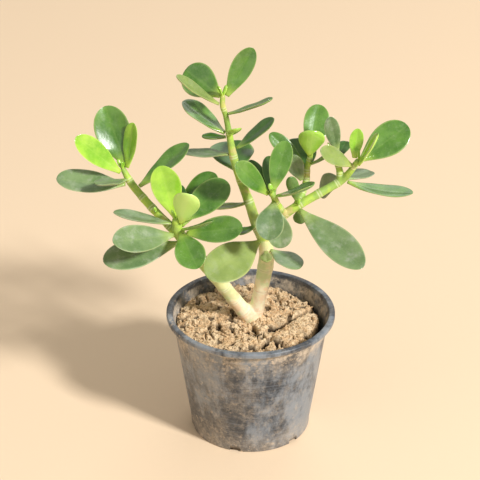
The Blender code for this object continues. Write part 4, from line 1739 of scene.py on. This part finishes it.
@dataclass
class Studio:
    """A plain pale floor, soft lights and the camera."""

    camera_place: tuple[float, float, float] = (-0.0071, -0.857, 0.599)
    camera_pitch: float = 28.2
    lens: float = 112.5
    sensor: float = 36.0
    floor_colour: Colour = (0.88, 0.68, 0.47)
    floor_half: float = 3.0
    sky_colour: Colour = (1.0, 0.96, 0.90)
    sky_strength: float = 0.40
    lamp_aim: tuple[float, float, float] = (0.0, 0.0, 0.13)
    lamps: tuple[Lamp, ...] = (
        Lamp("key", (2.35, -2.10, 2.45), 0.50, 178.0),
        Lamp("fill", (-2.2, -1.6, 1.4), 2.4, 8.0),
        Lamp("back", (0.6, 2.2, 2.0), 1.8, 14.0),
    )

    def build(self) -> None:
        """Sets the whole studio up."""
        self.add_floor()
        self.add_lights()
        self.add_camera()
        bpy.context.scene.view_settings.view_transform = "Standard"

    def add_floor(self) -> None:
        """A wide floor of fine matt card."""
        board = NodeBoard("studio_card")
        paler = tuple(min(1.0, channel * 1.04) for channel in self.floor_colour)
        colour = board.mix(board.noise(300.0, 3.0) * 0.5, self.floor_colour, paler)
        material = board.finish(Base_Color=colour, Roughness=0.9, Specular_IOR_Level=0.1)
        half = self.floor_half
        corners = [(-half, -half, 0), (half, -half, 0), (half, half, 0), (-half, half, 0)]
        floor = make_piece("studio_floor", corners, [(0, 1, 2, 3)], material)

    def add_lights(self) -> None:
        """The lamps and an even sky."""
        for lamp in self.lamps:
            light = bpy.data.lights.new(lamp.name, "AREA")
            light.energy = lamp.power
            light.size = lamp.size
            obj = bpy.data.objects.new(lamp.name, light)
            obj.location = lamp.place
            aim = Vector(self.lamp_aim) - Vector(lamp.place)
            obj.rotation_euler = aim.to_track_quat("-Z", "Y").to_euler()
            bpy.context.scene.collection.objects.link(obj)
        world = bpy.data.worlds.new("studio_sky")
        world.use_nodes = True
        sky = world.node_tree.nodes["Background"]
        sky.inputs["Color"].default_value = (*self.sky_colour, 1.0)
        sky.inputs["Strength"].default_value = self.sky_strength
        bpy.context.scene.world = world

    def add_camera(self) -> None:
        """A long lens, looking down at the plant."""
        camera = bpy.data.cameras.new("camera")
        camera.lens = self.lens
        camera.sensor_width = self.sensor
        obj = bpy.data.objects.new("camera", camera)
        obj.location = self.camera_place
        obj.rotation_euler = (math.radians(90 - self.camera_pitch), 0.0, 0.0)
        bpy.context.scene.collection.objects.link(obj)
        bpy.context.scene.camera = obj


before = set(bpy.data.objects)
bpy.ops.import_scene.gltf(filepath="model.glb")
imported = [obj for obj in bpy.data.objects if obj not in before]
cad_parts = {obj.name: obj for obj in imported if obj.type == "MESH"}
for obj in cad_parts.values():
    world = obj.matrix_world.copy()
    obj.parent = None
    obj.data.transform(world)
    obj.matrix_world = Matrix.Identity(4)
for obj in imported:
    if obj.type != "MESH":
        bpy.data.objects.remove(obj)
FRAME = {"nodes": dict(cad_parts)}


def main() -> None:
    """Builds the plant piece by piece, then the studio round it."""
    logging.basicConfig(level=logging.INFO, format="%(message)s")
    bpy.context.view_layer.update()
    Pot().build()
    SoilBed().build(FRAME["nodes"]["soil"])
    Stem().build()
    Foliage().build(FRAME["nodes"])
    Studio().build()


if __name__ == "__main__":
    main()
